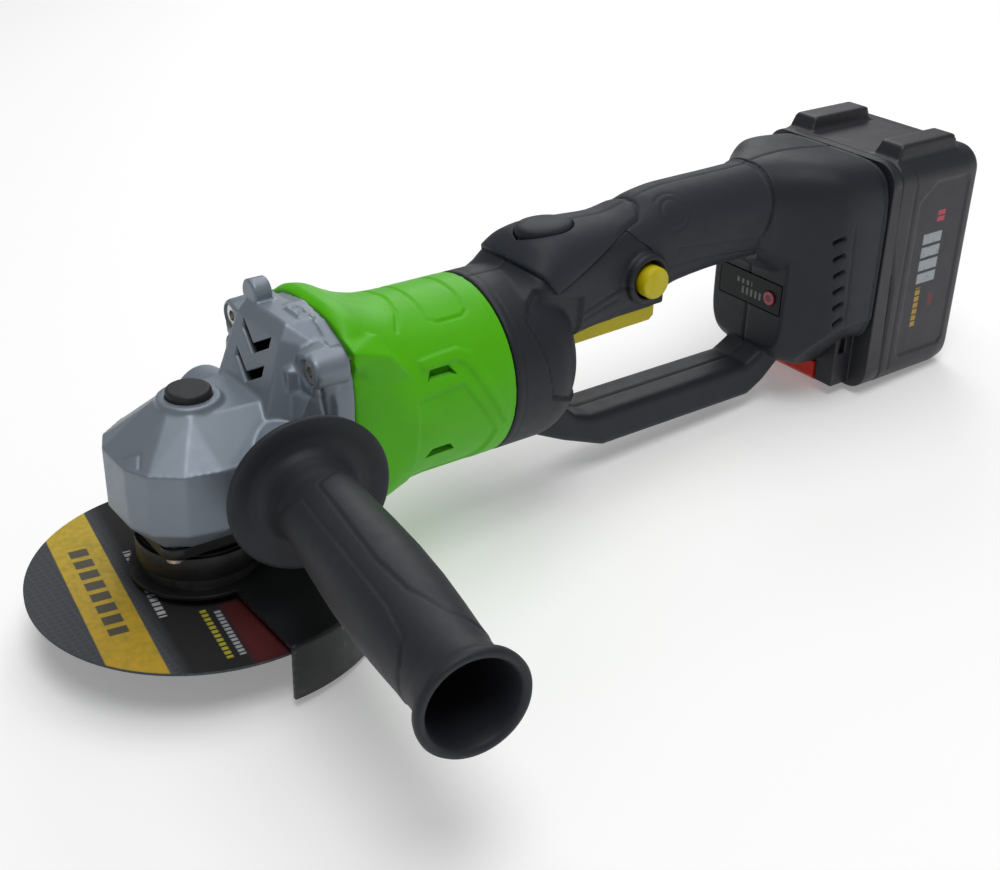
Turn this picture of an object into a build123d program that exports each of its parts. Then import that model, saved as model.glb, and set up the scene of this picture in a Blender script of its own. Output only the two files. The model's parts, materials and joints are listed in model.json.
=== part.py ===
from build123d import *
from math import atan2, cos, degrees, hypot, pi, radians, sin
import os

# Cordless 125 mm angle grinder with a closed rear handle.
# Millimetres. Origin: centre of the free end of the spindle. +Z runs up the spindle,
# +X runs along the motor towards the battery, -Y is the side where the side handle is fitted.

os.makedirs("parts", exist_ok=True)

# ---------------------------------------------------------------- driving dimensions
CLEAR = 0.3                 # gap between pieces that move past each other
WALL = 2.6                  # wall of the moulded shells

DISC_RADIUS = 62.5
DISC_THICKNESS = 1.2
DISC_BORE = 11.1
DISC_Z = 12.0               # middle plane of the disc

THREAD_RADIUS = 7.0         # M14 spindle thread
THREAD_TIP = 4.0            # free end left below the flange nut
THREAD_TIP_RADIUS = 6.8
SEAT_RADIUS = 18.0          # inner flange and flange nut

MOTOR_Z = 64.5              # height of the motor axis
MOTOR_RADIUS = 35.5         # outside of the motor housing
SEAM_X = 113.9              # motor housing meets the rear body
FLANGE_X = 46.0             # gear housing meets the motor housing

GEAR_TEETH = 37
PINION_TEETH = 11
GEAR_MODULE = 1.0
FACE_RATIO = 0.69           # inner end of the bevel teeth over their outer end

NECK_RADIUS = 19.6
NECK_LOW = 17.2
PLATE_HALF = 21.5           # half side of the square plate above the neck
PLATE_LOW = 33.0
PLATE_HIGH = 37.0

GUARD_RADIUS = 66.5
GUARD_SHEET = 1.6
GUARD_TOP = 17.0
GUARD_LOW = -4.5

HANDLE_X = 24.9             # where the side handle's axis crosses the centre plane
HANDLE_Z = 62.7
HANDLE_TILT = 8.8           # degrees forward of square
SOCKET_RADIUS = 4.0         # M8
SOCKET_START = 22.0
SOCKET_END = 36.0
HANDLE_END = 172.5

HEAD_HALF = 28.0            # half width of the gear housing over the gears
BUTTON_RADIUS = 7.9
BUTTON_TOP = 85.0
SPINDLE_TOP = 72.0

FOOT_X = 269.0               # front face of the battery foot
FOOT_END_X = 311.0          # rear face of the battery foot
BATTERY_END_X = 371.0
BATTERY_HALF = 37.5
BATTERY_LOW = 12.0
BATTERY_HIGH = 118.5

BAR_HALF = 12.0
BAR_LOW = 13.0
TRIGGER_LOW = 62.5

M3 = 1.5
M4 = 2.0
M5 = 2.5

# ---------------------------------------------------------------- helpers


def save(builder, label):
    """Label a finished piece and write it."""
    builder.part.label = label
    export_step(builder.part, f"parts/{label}.step")


def side_plane(side, distance):
    """Plane square to the side handle's axis; side is -1 near (-Y) and +1 far (+Y)."""
    outward = Vector(-sin(radians(HANDLE_TILT)), side * cos(radians(HANDLE_TILT)), 0)
    origin = Vector(HANDLE_X, 0, HANDLE_Z) + outward * distance
    return Plane(origin=origin, x_dir=(0, 0, 1), z_dir=outward)


def motor_plane(x):
    """Plane square to the motor axis, centred on it."""
    return Plane(origin=(x, 0, MOTOR_Z), x_dir=(0, 1, 0), z_dir=(1, 0, 0))


def ring(plane, outer, inner, length):
    """A plain ring standing on a plane."""
    with BuildPart() as piece:
        with BuildSketch(plane):
            Circle(outer)
            Circle(inner, mode=Mode.SUBTRACT)
        extrude(amount=length)
    return piece


def bearing(plane, bore, outer, width, label):
    """A ball bearing as two nodes: the outer race, and the inner race with its balls."""
    pitch = (bore + outer) / 2
    ball = (outer - bore) * 0.27
    race = (outer - bore) * 0.30
    start = plane.offset(width / 2)
    with BuildPart() as outer_race:
        with BuildSketch(plane):
            Circle(outer)
            Circle(outer - race, mode=Mode.SUBTRACT)
        extrude(amount=width)
        with BuildSketch(start):
            Circle(pitch + ball + 0.06)
        extrude(amount=ball + 0.06, both=True, mode=Mode.SUBTRACT)
    save(outer_race, label + "_outer")
    with BuildPart() as inner_race:
        with BuildSketch(plane):
            Circle(bore + race)
            Circle(bore, mode=Mode.SUBTRACT)
        extrude(amount=width)
        with Locations(start):
            with PolarLocations(pitch, 8):
                Sphere(ball)
    save(inner_race, label + "_inner")


def screw(plane, head_radius, head_height, shank, length, socket):
    """A screw whose head stands on the plane and whose shank runs against the normal."""
    with BuildPart(mode=Mode.PRIVATE) as piece:
        with BuildSketch(plane):
            Circle(head_radius)
        extrude(amount=head_height)
        with BuildSketch(plane):
            Circle(shank)
        extrude(amount=-length)
        with BuildSketch(plane.offset(head_height)):
            RegularPolygon(socket, 6)
        extrude(amount=-head_height * 0.6, mode=Mode.SUBTRACT)
    return piece.part


def coil(plane, radius, wire, height, turns):
    """A compression spring standing on a plane."""
    with BuildPart() as piece:
        with BuildLine() as path:
            Helix(height / turns, height, radius, center=plane.origin, direction=plane.z_dir)
        with BuildSketch(Plane(origin=path.line @ 0, z_dir=path.line % 0)):
            Circle(wire)
        sweep(is_frenet=True)
    return piece


# ---------------------------------------------------------------- spindle train
# The bevel gears share one apex, where the spindle axis crosses the motor axis.
gear_pitch = GEAR_MODULE * GEAR_TEETH / 2
pinion_pitch = GEAR_MODULE * PINION_TEETH / 2
cone = hypot(gear_pitch, pinion_pitch)
addendum = 0.8 * GEAR_MODULE
dedendum = 1.1 * GEAR_MODULE
tooth_space = 0.62 * pi * GEAR_MODULE


def cone_point(along, across, offset, scale=1.0):
    """A point on a bevel gear's outline: (distance from its axis, distance from the apex)."""
    radius = along + offset * across / cone
    depth = across - offset * along / cone
    return radius * scale, depth * scale


def tooth_cutter(along, across):
    """One tooth space of a bevel gear that turns about Z with its apex at the origin."""
    pitch_angle = degrees(atan2(along, across))
    with BuildPart(mode=Mode.PRIVATE) as cutter:
        for scale in (1.12, FACE_RATIO * 0.85):
            centre = (along * scale, 0, across * scale)
            slope = radians(pitch_angle)
            outward = (cos(slope), 0, -sin(slope))
            face = Plane(origin=centre, x_dir=(0, 1, 0), z_dir=(sin(slope), 0, cos(slope)))
            sign = 1 if face.y_dir.dot(Vector(outward)) > 0 else -1
            with BuildSketch(face):
                with BuildLine():
                    Polyline(
                        (-tooth_space * 0.34 * scale, -sign * dedendum * scale),
                        (tooth_space * 0.34 * scale, -sign * dedendum * scale),
                        (tooth_space * 0.78 * scale, sign * 1.4 * addendum * scale),
                        (-tooth_space * 0.78 * scale, sign * 1.4 * addendum * scale),
                        close=True,
                    )
                make_face()
        loft(ruled=True)
    return cutter.part


def bevel_blank(along, across, bore, back, hub):
    """The turned blank of a bevel gear about Z, apex at the origin, opening along +Z."""
    tip_out = cone_point(along, across, addendum)
    tip_in = cone_point(along, across, addendum, FACE_RATIO)
    root_in = cone_point(along, across, -dedendum, FACE_RATIO)
    root_out = cone_point(along, across, -dedendum)
    with BuildSketch(Plane.XZ) as outline:
        with BuildLine():
            Polyline(
                (bore, root_in[1]),
                root_in,
                tip_in,
                tip_out,
                (root_out[0], root_out[1]),
                (hub, root_out[1] + 1.0),
                (hub, back),
                (bore, back),
                close=True,
            )
        make_face()
    return outline


gear_apex = Plane(origin=(0, 0, MOTOR_Z), x_dir=(1, 0, 0), z_dir=(0, 0, -1))
gear_bore = 6.0
gear_back = 13.5

with BuildPart(mode=Mode.PRIVATE) as gear_shape:
    add(bevel_blank(gear_pitch, pinion_pitch, gear_bore, gear_back, gear_pitch - 6).sketch)
    revolve(axis=Axis.Z)
    with PolarLocations(0, GEAR_TEETH):
        add(tooth_cutter(gear_pitch, pinion_pitch), mode=Mode.SUBTRACT)

with BuildPart() as bevel_gear:
    add(gear_apex.location * gear_shape.part)
save(bevel_gear, "bevel_gear")

pinion_apex = Plane(origin=(0, 0, MOTOR_Z), x_dir=(0, 0, 1), z_dir=(1, 0, 0))
pinion_bore = 2.4
pinion_back = 23.0

with BuildPart(mode=Mode.PRIVATE) as pinion_shape:
    add(bevel_blank(pinion_pitch, gear_pitch, pinion_bore, pinion_back, pinion_pitch - 0.9).sketch)
    revolve(axis=Axis.Z)
    with PolarLocations(0, PINION_TEETH):
        add(tooth_cutter(pinion_pitch, gear_pitch), mode=Mode.SUBTRACT)

with BuildPart() as pinion:
    add(pinion_apex.location * pinion_shape.part)
save(pinion, "pinion")

# The spindle: journal, gear seat, bearing seat, shoulder, flange seat and thread.
bearing_low = 21.5
bearing_width = 10.0
bearing_outer = 16.0
gear_bottom = MOTOR_Z - gear_back
gear_top = 59.2
journal_radius = 3.5
shoulder_radius = 8.5
flange_top = 16.2
dog_slot = 3.8
dog_width = 2.4

with BuildPart() as spindle:
    with BuildSketch(Plane.XZ):
        with BuildLine():
            Polyline(
                (0, 0),
                (THREAD_TIP_RADIUS, 0),
                (THREAD_TIP_RADIUS, THREAD_TIP),
                (THREAD_RADIUS, THREAD_TIP),
                (THREAD_RADIUS, flange_top),
                (shoulder_radius, flange_top),
                (shoulder_radius, bearing_low),
                (gear_bore, bearing_low),
                (gear_bore, gear_top),
                (journal_radius, gear_top),
                (journal_radius, SPINDLE_TOP),
                (0, SPINDLE_TOP),
                close=True,
            )
        make_face()
    revolve(axis=Axis.Z)
    with BuildSketch(Plane.XY.offset(SPINDLE_TOP)):
        Rectangle(3 * journal_radius, dog_width)
        Rectangle(dog_width, 3 * journal_radius)
    extrude(amount=-dog_slot, mode=Mode.SUBTRACT)
save(spindle, "spindle")

bearing(Plane.XY.offset(bearing_low), gear_bore, bearing_outer, bearing_width, "spindle_bearing")

spacer_low = bearing_low + bearing_width
spindle_spacer = ring(Plane.XY.offset(spacer_low), 8.4, gear_bore, gear_bottom - spacer_low)
save(spindle_spacer, "spindle_spacer")

needle_low = 60.6
needle_outer = 5.5
needle_bearing = ring(
    Plane.XY.offset(needle_low), needle_outer, journal_radius + 0.03, 7.4
)
save(needle_bearing, "needle_bearing")

# Inner flange: a dished washer with the boss that centres the disc.
with BuildPart() as inner_flange:
    with BuildSketch(Plane.XZ):
        with BuildLine():
            Polyline(
                (THREAD_RADIUS, DISC_Z - 0.5),
                (DISC_BORE - 0.05, DISC_Z - 0.5),
                (DISC_BORE - 0.05, DISC_Z + 1.1),
                (SEAT_RADIUS - 5, DISC_Z + 1.1),
                (SEAT_RADIUS - 5, DISC_Z + 0.6),
                (SEAT_RADIUS, DISC_Z + 0.6),
                (SEAT_RADIUS, DISC_Z + 2.6),
                (SEAT_RADIUS - 3, flange_top),
                (THREAD_RADIUS, flange_top),
                close=True,
            )
        make_face()
    revolve(axis=Axis.Z)
save(inner_flange, "inner_flange")

with BuildPart() as cutting_disc:
    with BuildSketch(Plane.XY.offset(DISC_Z - DISC_THICKNESS / 2)):
        Circle(DISC_RADIUS)
        Circle(DISC_BORE, mode=Mode.SUBTRACT)
    extrude(amount=DISC_THICKNESS)
save(cutting_disc, "cutting_disc")

# Flange nut with four pin-spanner holes and a relief inside its clamping face.
nut_high = DISC_Z - DISC_THICKNESS / 2
with BuildPart() as flange_nut:
    with BuildSketch(Plane.XZ):
        with BuildLine():
            Polyline(
                (THREAD_RADIUS, THREAD_TIP),
                (10.5, THREAD_TIP),
                (12.0, THREAD_TIP + 1.2),
                (12.0, THREAD_TIP + 3.6),
                (SEAT_RADIUS - 1.5, THREAD_TIP + 3.6),
                (SEAT_RADIUS, THREAD_TIP + 4.8),
                (SEAT_RADIUS, nut_high),
                (SEAT_RADIUS - 4, nut_high),
                (SEAT_RADIUS - 4, nut_high - 0.6),
                (THREAD_RADIUS, nut_high - 0.6),
                close=True,
            )
        make_face()
    revolve(axis=Axis.Z)
    with BuildSketch(Plane.XY.offset(THREAD_TIP + 3.6)):
        with PolarLocations(14.6, 4, start_angle=45):
            Circle(1.8)
    extrude(amount=2.6, mode=Mode.SUBTRACT)
save(flange_nut, "flange_nut")

# ---------------------------------------------------------------- gear housing
bevel_z = 67.5               # side walls end and the sloped roof starts
roof_z = 80.0
ring_radius = 10.7
ring_top = 82.2
cavity_radius = 22.0
cavity_shoulder = 65.5       # the chamber narrows above this, under the sloped roof
cavity_top = 73.5
cavity_top_radius = 14.5
flange_half = 33.0
screw_y = 28.0
screw_dz = 29.0
screw_face = 34.0
housing_screw_length = 20.0

with BuildPart() as gear_housing:
    # side walls over the gears: rounded at the front, straight towards the motor
    for low, high, shrink in ((PLATE_HIGH, 42.5, 5.5), (42.5, bevel_z, 0.0)):
        with BuildSketch(Plane.XY.offset(low)):
            with Locations((2, 0)):
                RectangleRounded(60 - 2 * shrink, 2 * (HEAD_HALF - shrink), 17 - shrink)
        with BuildSketch(Plane.XY.offset(high)):
            with Locations((2, 0)):
                RectangleRounded(60, 2 * HEAD_HALF, 17)
        loft()
    # sloped roof up to the ring round the lock button
    with BuildSketch(Plane.XY.offset(bevel_z)):
        with Locations((2, 0)):
            RectangleRounded(60, 2 * HEAD_HALF, 17)
    with BuildSketch(Plane.XY.offset(roof_z)):
        with Locations((4, 0)):
            RectangleRounded(36, 24, 11.9)
    loft()
    with BuildSketch(Plane.XY.offset(roof_z - 3)):
        Circle(ring_radius + 1.2)
    with BuildSketch(Plane.XY.offset(ring_top)):
        Circle(ring_radius)
    loft()
    # tower that rises to the motor flange
    with BuildSketch(Plane.YZ.offset(21.5)):
        with Locations((0, 58)):
            RectangleRounded(38, 42, 6)
    with BuildSketch(Plane.YZ.offset(30)):
        with Locations((0, 68)):
            RectangleRounded(46, 72, 9)
    loft()
    with BuildSketch(Plane.YZ.offset(30)):
        with Locations((0, 68)):
            RectangleRounded(46, 72, 9)
    with BuildSketch(Plane.YZ.offset(40)):
        with Locations((0, 67)):
            RectangleRounded(2 * flange_half, 76, 14)
    loft()
    with BuildSketch(Plane.YZ.offset(40)):
        with Locations((0, 67)):
            RectangleRounded(2 * flange_half, 76, 14)
    extrude(amount=FLANGE_X - 40)
    # corner bosses for the screws into the motor housing
    with BuildSketch(motor_plane(screw_face)):
        with GridLocations(2 * screw_y, 2 * screw_dz, 2, 2):
            Circle(6.0)
    extrude(amount=FLANGE_X - screw_face)
    # lifting lug on top
    with BuildSketch(Plane.YZ.offset(29.5)):
        with Locations((12, 104)):
            RectangleRounded(9, 12, 3.5)
    extrude(amount=8)
    # bosses for the side handle
    for side in (-1, 1):
        with BuildSketch(side_plane(side, SOCKET_START - 6)):
            Circle(11.5)
        extrude(amount=SOCKET_END - SOCKET_START + 6)
    # gear chamber, upper bearing seat and lock button well
    with BuildSketch(Plane.XY.offset(PLATE_HIGH)):
        Circle(cavity_radius)
    extrude(amount=cavity_shoulder - PLATE_HIGH, mode=Mode.SUBTRACT)
    with BuildSketch(Plane.XY.offset(cavity_shoulder)):
        Circle(cavity_radius)
    with BuildSketch(Plane.XY.offset(cavity_top)):
        Circle(cavity_top_radius)
    loft(mode=Mode.SUBTRACT)
    with BuildSketch(Plane.XY.offset(needle_low)):
        Circle(needle_outer + 3)
    extrude(amount=cavity_top - needle_low)
    with BuildSketch(Plane.XY.offset(needle_low)):
        Circle(needle_outer)
    extrude(amount=SPINDLE_TOP + 1.2 - needle_low, mode=Mode.SUBTRACT)
    with BuildSketch(Plane.XY.offset(SPINDLE_TOP)):
        Circle(3.8)
    extrude(amount=8, mode=Mode.SUBTRACT)
    with BuildSketch(Plane.XY.offset(76.3)):
        Circle(BUTTON_RADIUS + CLEAR)
    extrude(amount=12, mode=Mode.SUBTRACT)
    # motor shaft passage, front motor bearing seat and the air space round the fan
    with BuildSketch(motor_plane(15)):
        Circle(7.6)
    extrude(amount=20, mode=Mode.SUBTRACT)
    with BuildSketch(motor_plane(33)):
        Circle(13.0)
    extrude(amount=FLANGE_X - 33, mode=Mode.SUBTRACT)
    with BuildSketch(motor_plane(42.5)):
        Circle(30.0)
    extrude(amount=FLANGE_X - 42.5, mode=Mode.SUBTRACT)
    # exhaust duct and its two chevron outlets
    with BuildSketch(Plane.YZ.offset(31)):
        with Locations((0, 91)):
            RectangleRounded(30, 20, 4)
    extrude(amount=13, mode=Mode.SUBTRACT)
    for vent_z, vent_half in ((97.5, 10.0), (87.5, 10.0)):
        with BuildSketch(Plane.YZ.offset(20)):
            with BuildLine():
                Polyline(
                    (-vent_half, vent_z + 2.2),
                    (0, vent_z - 3.0),
                    (vent_half, vent_z + 2.2),
                    (vent_half, vent_z - 1.2),
                    (0, vent_z - 6.6),
                    (-vent_half, vent_z - 1.2),
                    close=True,
                )
            make_face()
        extrude(amount=14, mode=Mode.SUBTRACT)
    # screw clearance, handle sockets and the holes for the cover screws
    with BuildSketch(motor_plane(screw_face)):
        with GridLocations(2 * screw_y, 2 * screw_dz, 2, 2):
            Circle(4.7)
    extrude(amount=-12, mode=Mode.SUBTRACT)
    with BuildSketch(motor_plane(screw_face - 1)):
        with GridLocations(2 * screw_y, 2 * screw_dz, 2, 2):
            Circle(M5)
    extrude(amount=20, mode=Mode.SUBTRACT)
    for side in (-1, 1):
        with BuildSketch(side_plane(side, SOCKET_START)):
            Circle(6.5)
        extrude(amount=SOCKET_END, mode=Mode.SUBTRACT)
    with BuildSketch(Plane.XY.offset(PLATE_HIGH)):
        with GridLocations(34, 34, 2, 2):
            Circle(M4)
    extrude(amount=9, mode=Mode.SUBTRACT)
save(gear_housing, "gear_housing")

# Square plate with the neck that carries the spindle bearing and the guard.
with BuildPart() as bearing_cover:
    with BuildSketch(Plane.XY.offset(PLATE_LOW)):
        RectangleRounded(2 * PLATE_HALF, 2 * PLATE_HALF, 6)
    extrude(amount=PLATE_HIGH - PLATE_LOW)
    with BuildSketch(Plane.XY.offset(NECK_LOW)):
        Circle(NECK_RADIUS)
    extrude(amount=PLATE_LOW - NECK_LOW)
    with BuildSketch(Plane.XY.offset(bearing_low)):
        Circle(bearing_outer)
    extrude(amount=bearing_width, mode=Mode.SUBTRACT)
    with BuildSketch(Plane.XY.offset(bearing_low + bearing_width)):
        Circle(bearing_outer - 2)
    extrude(amount=12, mode=Mode.SUBTRACT)
    with BuildSketch(Plane.XY.offset(NECK_LOW)):
        Circle(12.0)
    extrude(amount=5, mode=Mode.SUBTRACT)
    with BuildSketch(Plane.XY.offset(PLATE_LOW)):
        with GridLocations(34, 34, 2, 2):
            Circle(M4)
    extrude(amount=5, mode=Mode.SUBTRACT)
save(bearing_cover, "bearing_cover")

spindle_seal = ring(
    Plane.XY.offset(NECK_LOW + 0.4), 12.0, shoulder_radius + 0.25, bearing_low - NECK_LOW - 0.8
)
save(spindle_seal, "spindle_seal")

with BuildPart() as cover_screws:
    for x in (-17, 17):
        for y in (-17, 17):
            cover_face = Plane(origin=(x, y, PLATE_LOW), x_dir=(1, 0, 0), z_dir=(0, 0, -1))
            add(screw(cover_face, 3.4, 1.6, M4, 12, 1.5))
save(cover_screws, "cover_screws")

with BuildPart() as gear_housing_screws:
    for y in (-screw_y, screw_y):
        for dz in (-screw_dz, screw_dz):
            screw_seat = Plane(
                origin=(screw_face, y, MOTOR_Z + dz), x_dir=(0, 1, 0), z_dir=(-1, 0, 0)
            )
            add(screw(screw_seat, 4.2, 2.6, M5, housing_screw_length, 2.2))
save(gear_housing_screws, "gear_housing_screws")

# Lock button: pressing it drops the cross on its stem into the slots of the spindle.
stem_low = SPINDLE_TOP + 0.4
with BuildPart() as lock_button:
    with BuildSketch(Plane.XY.offset(BUTTON_TOP - 5)):
        Circle(BUTTON_RADIUS)
    extrude(amount=5)
    fillet(lock_button.edges().group_by(Axis.Z)[-1], 1.2)
    with BuildSketch(Plane.XY.offset(BUTTON_TOP - 5)):
        Circle(5.4)
    extrude(amount=2.6, mode=Mode.SUBTRACT)
    with BuildSketch(Plane.XY.offset(stem_low)):
        Rectangle(5.6, 1.8)
        Rectangle(1.8, 5.6)
    extrude(amount=4)
    with BuildSketch(Plane.XY.offset(stem_low + 3.6)):
        Circle(3.4)
    extrude(amount=BUTTON_TOP - 2 - stem_low - 3.6)
save(lock_button, "lock_button")

lock_spring = coil(Plane.XY.offset(76.8), 4.5, 0.35, 4.9, 4)
save(lock_spring, "lock_spring")

# ---------------------------------------------------------------- guard
collar_high = 31.0
collar_bore = NECK_RADIUS + 0.3
collar_wall = 1.4
with BuildPart() as guard:
    with BuildSketch(Plane.XY.offset(GUARD_TOP - GUARD_SHEET)):
        with BuildLine():
            CenterArc((0, 0), GUARD_RADIUS, -90, 180)
            Line((0, GUARD_RADIUS), (0, -GUARD_RADIUS))
        make_face()
        Circle(collar_bore + 6)
        Circle(collar_bore, mode=Mode.SUBTRACT)
    extrude(amount=GUARD_SHEET)
    with BuildSketch(Plane.XY.offset(GUARD_LOW)):
        with BuildLine():
            CenterArc((0, 0), GUARD_RADIUS, -90, 180)
            Line((0, GUARD_RADIUS), (0, GUARD_RADIUS - GUARD_SHEET))
            CenterArc((0, 0), GUARD_RADIUS - GUARD_SHEET, 90, -180)
            Line((0, -GUARD_RADIUS + GUARD_SHEET), (0, -GUARD_RADIUS))
        make_face()
    extrude(amount=GUARD_TOP - GUARD_LOW)
    with BuildSketch(Plane.XY.offset(GUARD_TOP - GUARD_SHEET)):
        Circle(collar_bore + collar_wall)
        Circle(collar_bore, mode=Mode.SUBTRACT)
    extrude(amount=collar_high - GUARD_TOP + GUARD_SHEET)
    fillet(guard.edges().filter_by(GeomType.CIRCLE).filter_by(
        lambda edge: abs(edge.radius - GUARD_RADIUS) < 0.01 and edge.center().Z > GUARD_TOP - 0.1), 1.5)
save(guard, "guard")

band_bore = collar_bore + collar_wall
band_outer = band_bore + 1.6
band_low = 21.5
band_high = 30.5
ear_angle = 112
ear_direction = Vector(cos(radians(ear_angle)), sin(radians(ear_angle)), 0)
ear_plane = Plane(origin=(0, 0, band_low), x_dir=ear_direction, z_dir=(0, 0, 1))
with BuildPart() as guard_clamp:
    with BuildSketch(ear_plane):
        Circle(band_outer)
        with Locations((band_outer + 3.2, 0)):
            Rectangle(9.5, 9)
        Circle(band_bore, mode=Mode.SUBTRACT)
        with Locations((band_outer + 2, 0)):
            Rectangle(16, 2.6, mode=Mode.SUBTRACT)
    extrude(amount=band_high - band_low)
    ear_side = Plane(
        origin=Vector(0, 0, (band_low + band_high) / 2) + ear_direction * (band_outer + 4.2),
        x_dir=(0, 0, 1),
        z_dir=ear_plane.y_dir,
    )
    with BuildSketch(ear_side):
        Circle(M4 + 0.2)
    extrude(amount=6, both=True, mode=Mode.SUBTRACT)
save(guard_clamp, "guard_clamp")

with BuildPart() as guard_clamp_screw:
    clamp_head = Plane(
        origin=ear_side.origin - ear_side.z_dir * 4.5, x_dir=(0, 0, 1), z_dir=-ear_side.z_dir
    )
    add(screw(clamp_head, 3.4, 3.0, M4, 12, 1.6))
save(guard_clamp_screw, "guard_clamp_screw")

# ---------------------------------------------------------------- motor
stator_front = 68.0
stator_rear = 100.0
stator_outer = 32.0
rotor_radius = 14.5
air_gap = 0.5
rear_bearing_x = 106.0
boss_length = 11.5

with BuildPart() as motor_housing:
    with BuildSketch(Plane.YZ.offset(FLANGE_X)):
        with Locations((0, 67)):
            RectangleRounded(2 * flange_half, 76, 14)
    extrude(amount=6)
    with BuildSketch(Plane.YZ.offset(FLANGE_X + 6)):
        with Locations((0, 67)):
            RectangleRounded(2 * flange_half, 76, 14)
    with BuildSketch(Plane.YZ.offset(66)):
        with Locations((0, MOTOR_Z + 0.5)):
            RectangleRounded(2 * MOTOR_RADIUS, 2 * MOTOR_RADIUS + 1, MOTOR_RADIUS - 4)
    loft()
    with BuildSketch(Plane.YZ.offset(66)):
        with Locations((0, MOTOR_Z + 0.5)):
            RectangleRounded(2 * MOTOR_RADIUS, 2 * MOTOR_RADIUS + 1, MOTOR_RADIUS - 4)
    with BuildSketch(Plane.YZ.offset(84)):
        with Locations((0, MOTOR_Z)):
            Circle(MOTOR_RADIUS)
    loft()
    with BuildSketch(motor_plane(84)):
        Circle(MOTOR_RADIUS)
    extrude(amount=SEAM_X - 84)
    # bosses that take the gear housing's screws
    with BuildSketch(motor_plane(FLANGE_X)):
        with GridLocations(2 * screw_y, 2 * screw_dz, 2, 2):
            Circle(5.0)
    extrude(amount=boss_length)
    with BuildSketch(motor_plane(FLANGE_X)):
        Circle(30.0)
    extrude(amount=20, mode=Mode.SUBTRACT)
    with BuildSketch(motor_plane(66)):
        Circle(stator_outer)
    extrude(amount=60, mode=Mode.SUBTRACT)
    with BuildSketch(motor_plane(FLANGE_X)):
        with GridLocations(2 * screw_y, 2 * screw_dz, 2, 2):
            Circle(M5)
    extrude(amount=boss_length - 2, mode=Mode.SUBTRACT)
    # cooling slots on both sides
    for slot_dz in (16.5, -14.5):
        with BuildSketch(Plane.XZ.offset(0)):
            with Locations((82, MOTOR_Z + slot_dz)):
                Trapezoid(13, 3.6, 60)
        extrude(amount=60, both=True, mode=Mode.SUBTRACT)
save(motor_housing, "motor_housing")

with BuildPart() as stator_core:
    with BuildSketch(motor_plane(stator_front)):
        Circle(stator_outer)
        Circle(26.5, mode=Mode.SUBTRACT)
        with PolarLocations(21, 9):
            Rectangle(12.5, 4.6)
        with PolarLocations(16.2, 9):
            Rectangle(2.4, 8.6)
        Circle(rotor_radius + air_gap, mode=Mode.SUBTRACT)
    extrude(amount=stator_rear - stator_front)
save(stator_core, "stator_core")

with BuildPart() as stator_windings:
    for along in (stator_front - 5.2, stator_rear + 0.2):
        with BuildSketch(motor_plane(along)):
            with PolarLocations(21.6, 9):
                RectangleRounded(7.2, 10.5, 2.2)
        extrude(amount=5.0)
save(stator_windings, "stator_windings")

with BuildPart() as rotor_core:
    with BuildSketch(motor_plane(stator_front)):
        Circle(rotor_radius)
        Circle(4.0, mode=Mode.SUBTRACT)
        with PolarLocations(10.6, 4):
            Rectangle(2.6, 12, mode=Mode.SUBTRACT)
    extrude(amount=stator_rear - stator_front)
save(rotor_core, "rotor_core")

with BuildPart() as rotor_magnets:
    with BuildSketch(motor_plane(stator_front + 0.5)):
        with PolarLocations(10.6, 4):
            Rectangle(2.6, 12)
    extrude(amount=stator_rear - stator_front - 1)
save(rotor_magnets, "rotor_magnets")

front_bearing_x = 33.5
front_bearing_width = 8.0
rear_bearing_width = 7.0
with BuildPart() as rotor_shaft:
    with BuildSketch(motor_plane(pinion_back - 10.5)):
        Circle(pinion_bore)
    extrude(amount=10.5)
    with BuildSketch(motor_plane(pinion_back)):
        Circle(5.0)
    extrude(amount=front_bearing_x + front_bearing_width - pinion_back)
    with BuildSketch(motor_plane(front_bearing_x + front_bearing_width)):
        Circle(4.0)
    extrude(amount=rear_bearing_x + rear_bearing_width - front_bearing_x - front_bearing_width)
save(rotor_shaft, "rotor_shaft")

bearing(motor_plane(front_bearing_x), 5.0, 13.0, front_bearing_width, "front_motor_bearing")
bearing(motor_plane(rear_bearing_x), 4.0, 11.0, rear_bearing_width, "rear_motor_bearing")

fan_x = 50.0
with BuildPart() as cooling_fan:
    with BuildSketch(motor_plane(fan_x + 7)):
        Circle(27.5)
        Circle(4.0, mode=Mode.SUBTRACT)
    extrude(amount=2)
    with BuildSketch(motor_plane(fan_x)):
        Circle(8.5)
        Circle(4.0, mode=Mode.SUBTRACT)
    extrude(amount=7)
    with BuildSketch(motor_plane(fan_x)):
        with PolarLocations(18, 11, start_angle=16):
            with Locations(Rotation(0, 0, 24)):
                Rectangle(17, 1.6)
    extrude(amount=7)
save(cooling_fan, "cooling_fan")

# Bearing bridge: disc with vents that centres the rear motor bearing.
with BuildPart() as bearing_bridge:
    with BuildSketch(motor_plane(rear_bearing_x)):
        Circle(stator_outer)
        with PolarLocations(21, 6):
            Circle(6.2, mode=Mode.SUBTRACT)
    extrude(amount=3)
    with BuildSketch(motor_plane(rear_bearing_x)):
        Circle(13.2)
    extrude(amount=rear_bearing_width + 1.6)
    with BuildSketch(motor_plane(rear_bearing_x)):
        Circle(11.0)
    extrude(amount=rear_bearing_width, mode=Mode.SUBTRACT)
save(bearing_bridge, "bearing_bridge")

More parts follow.
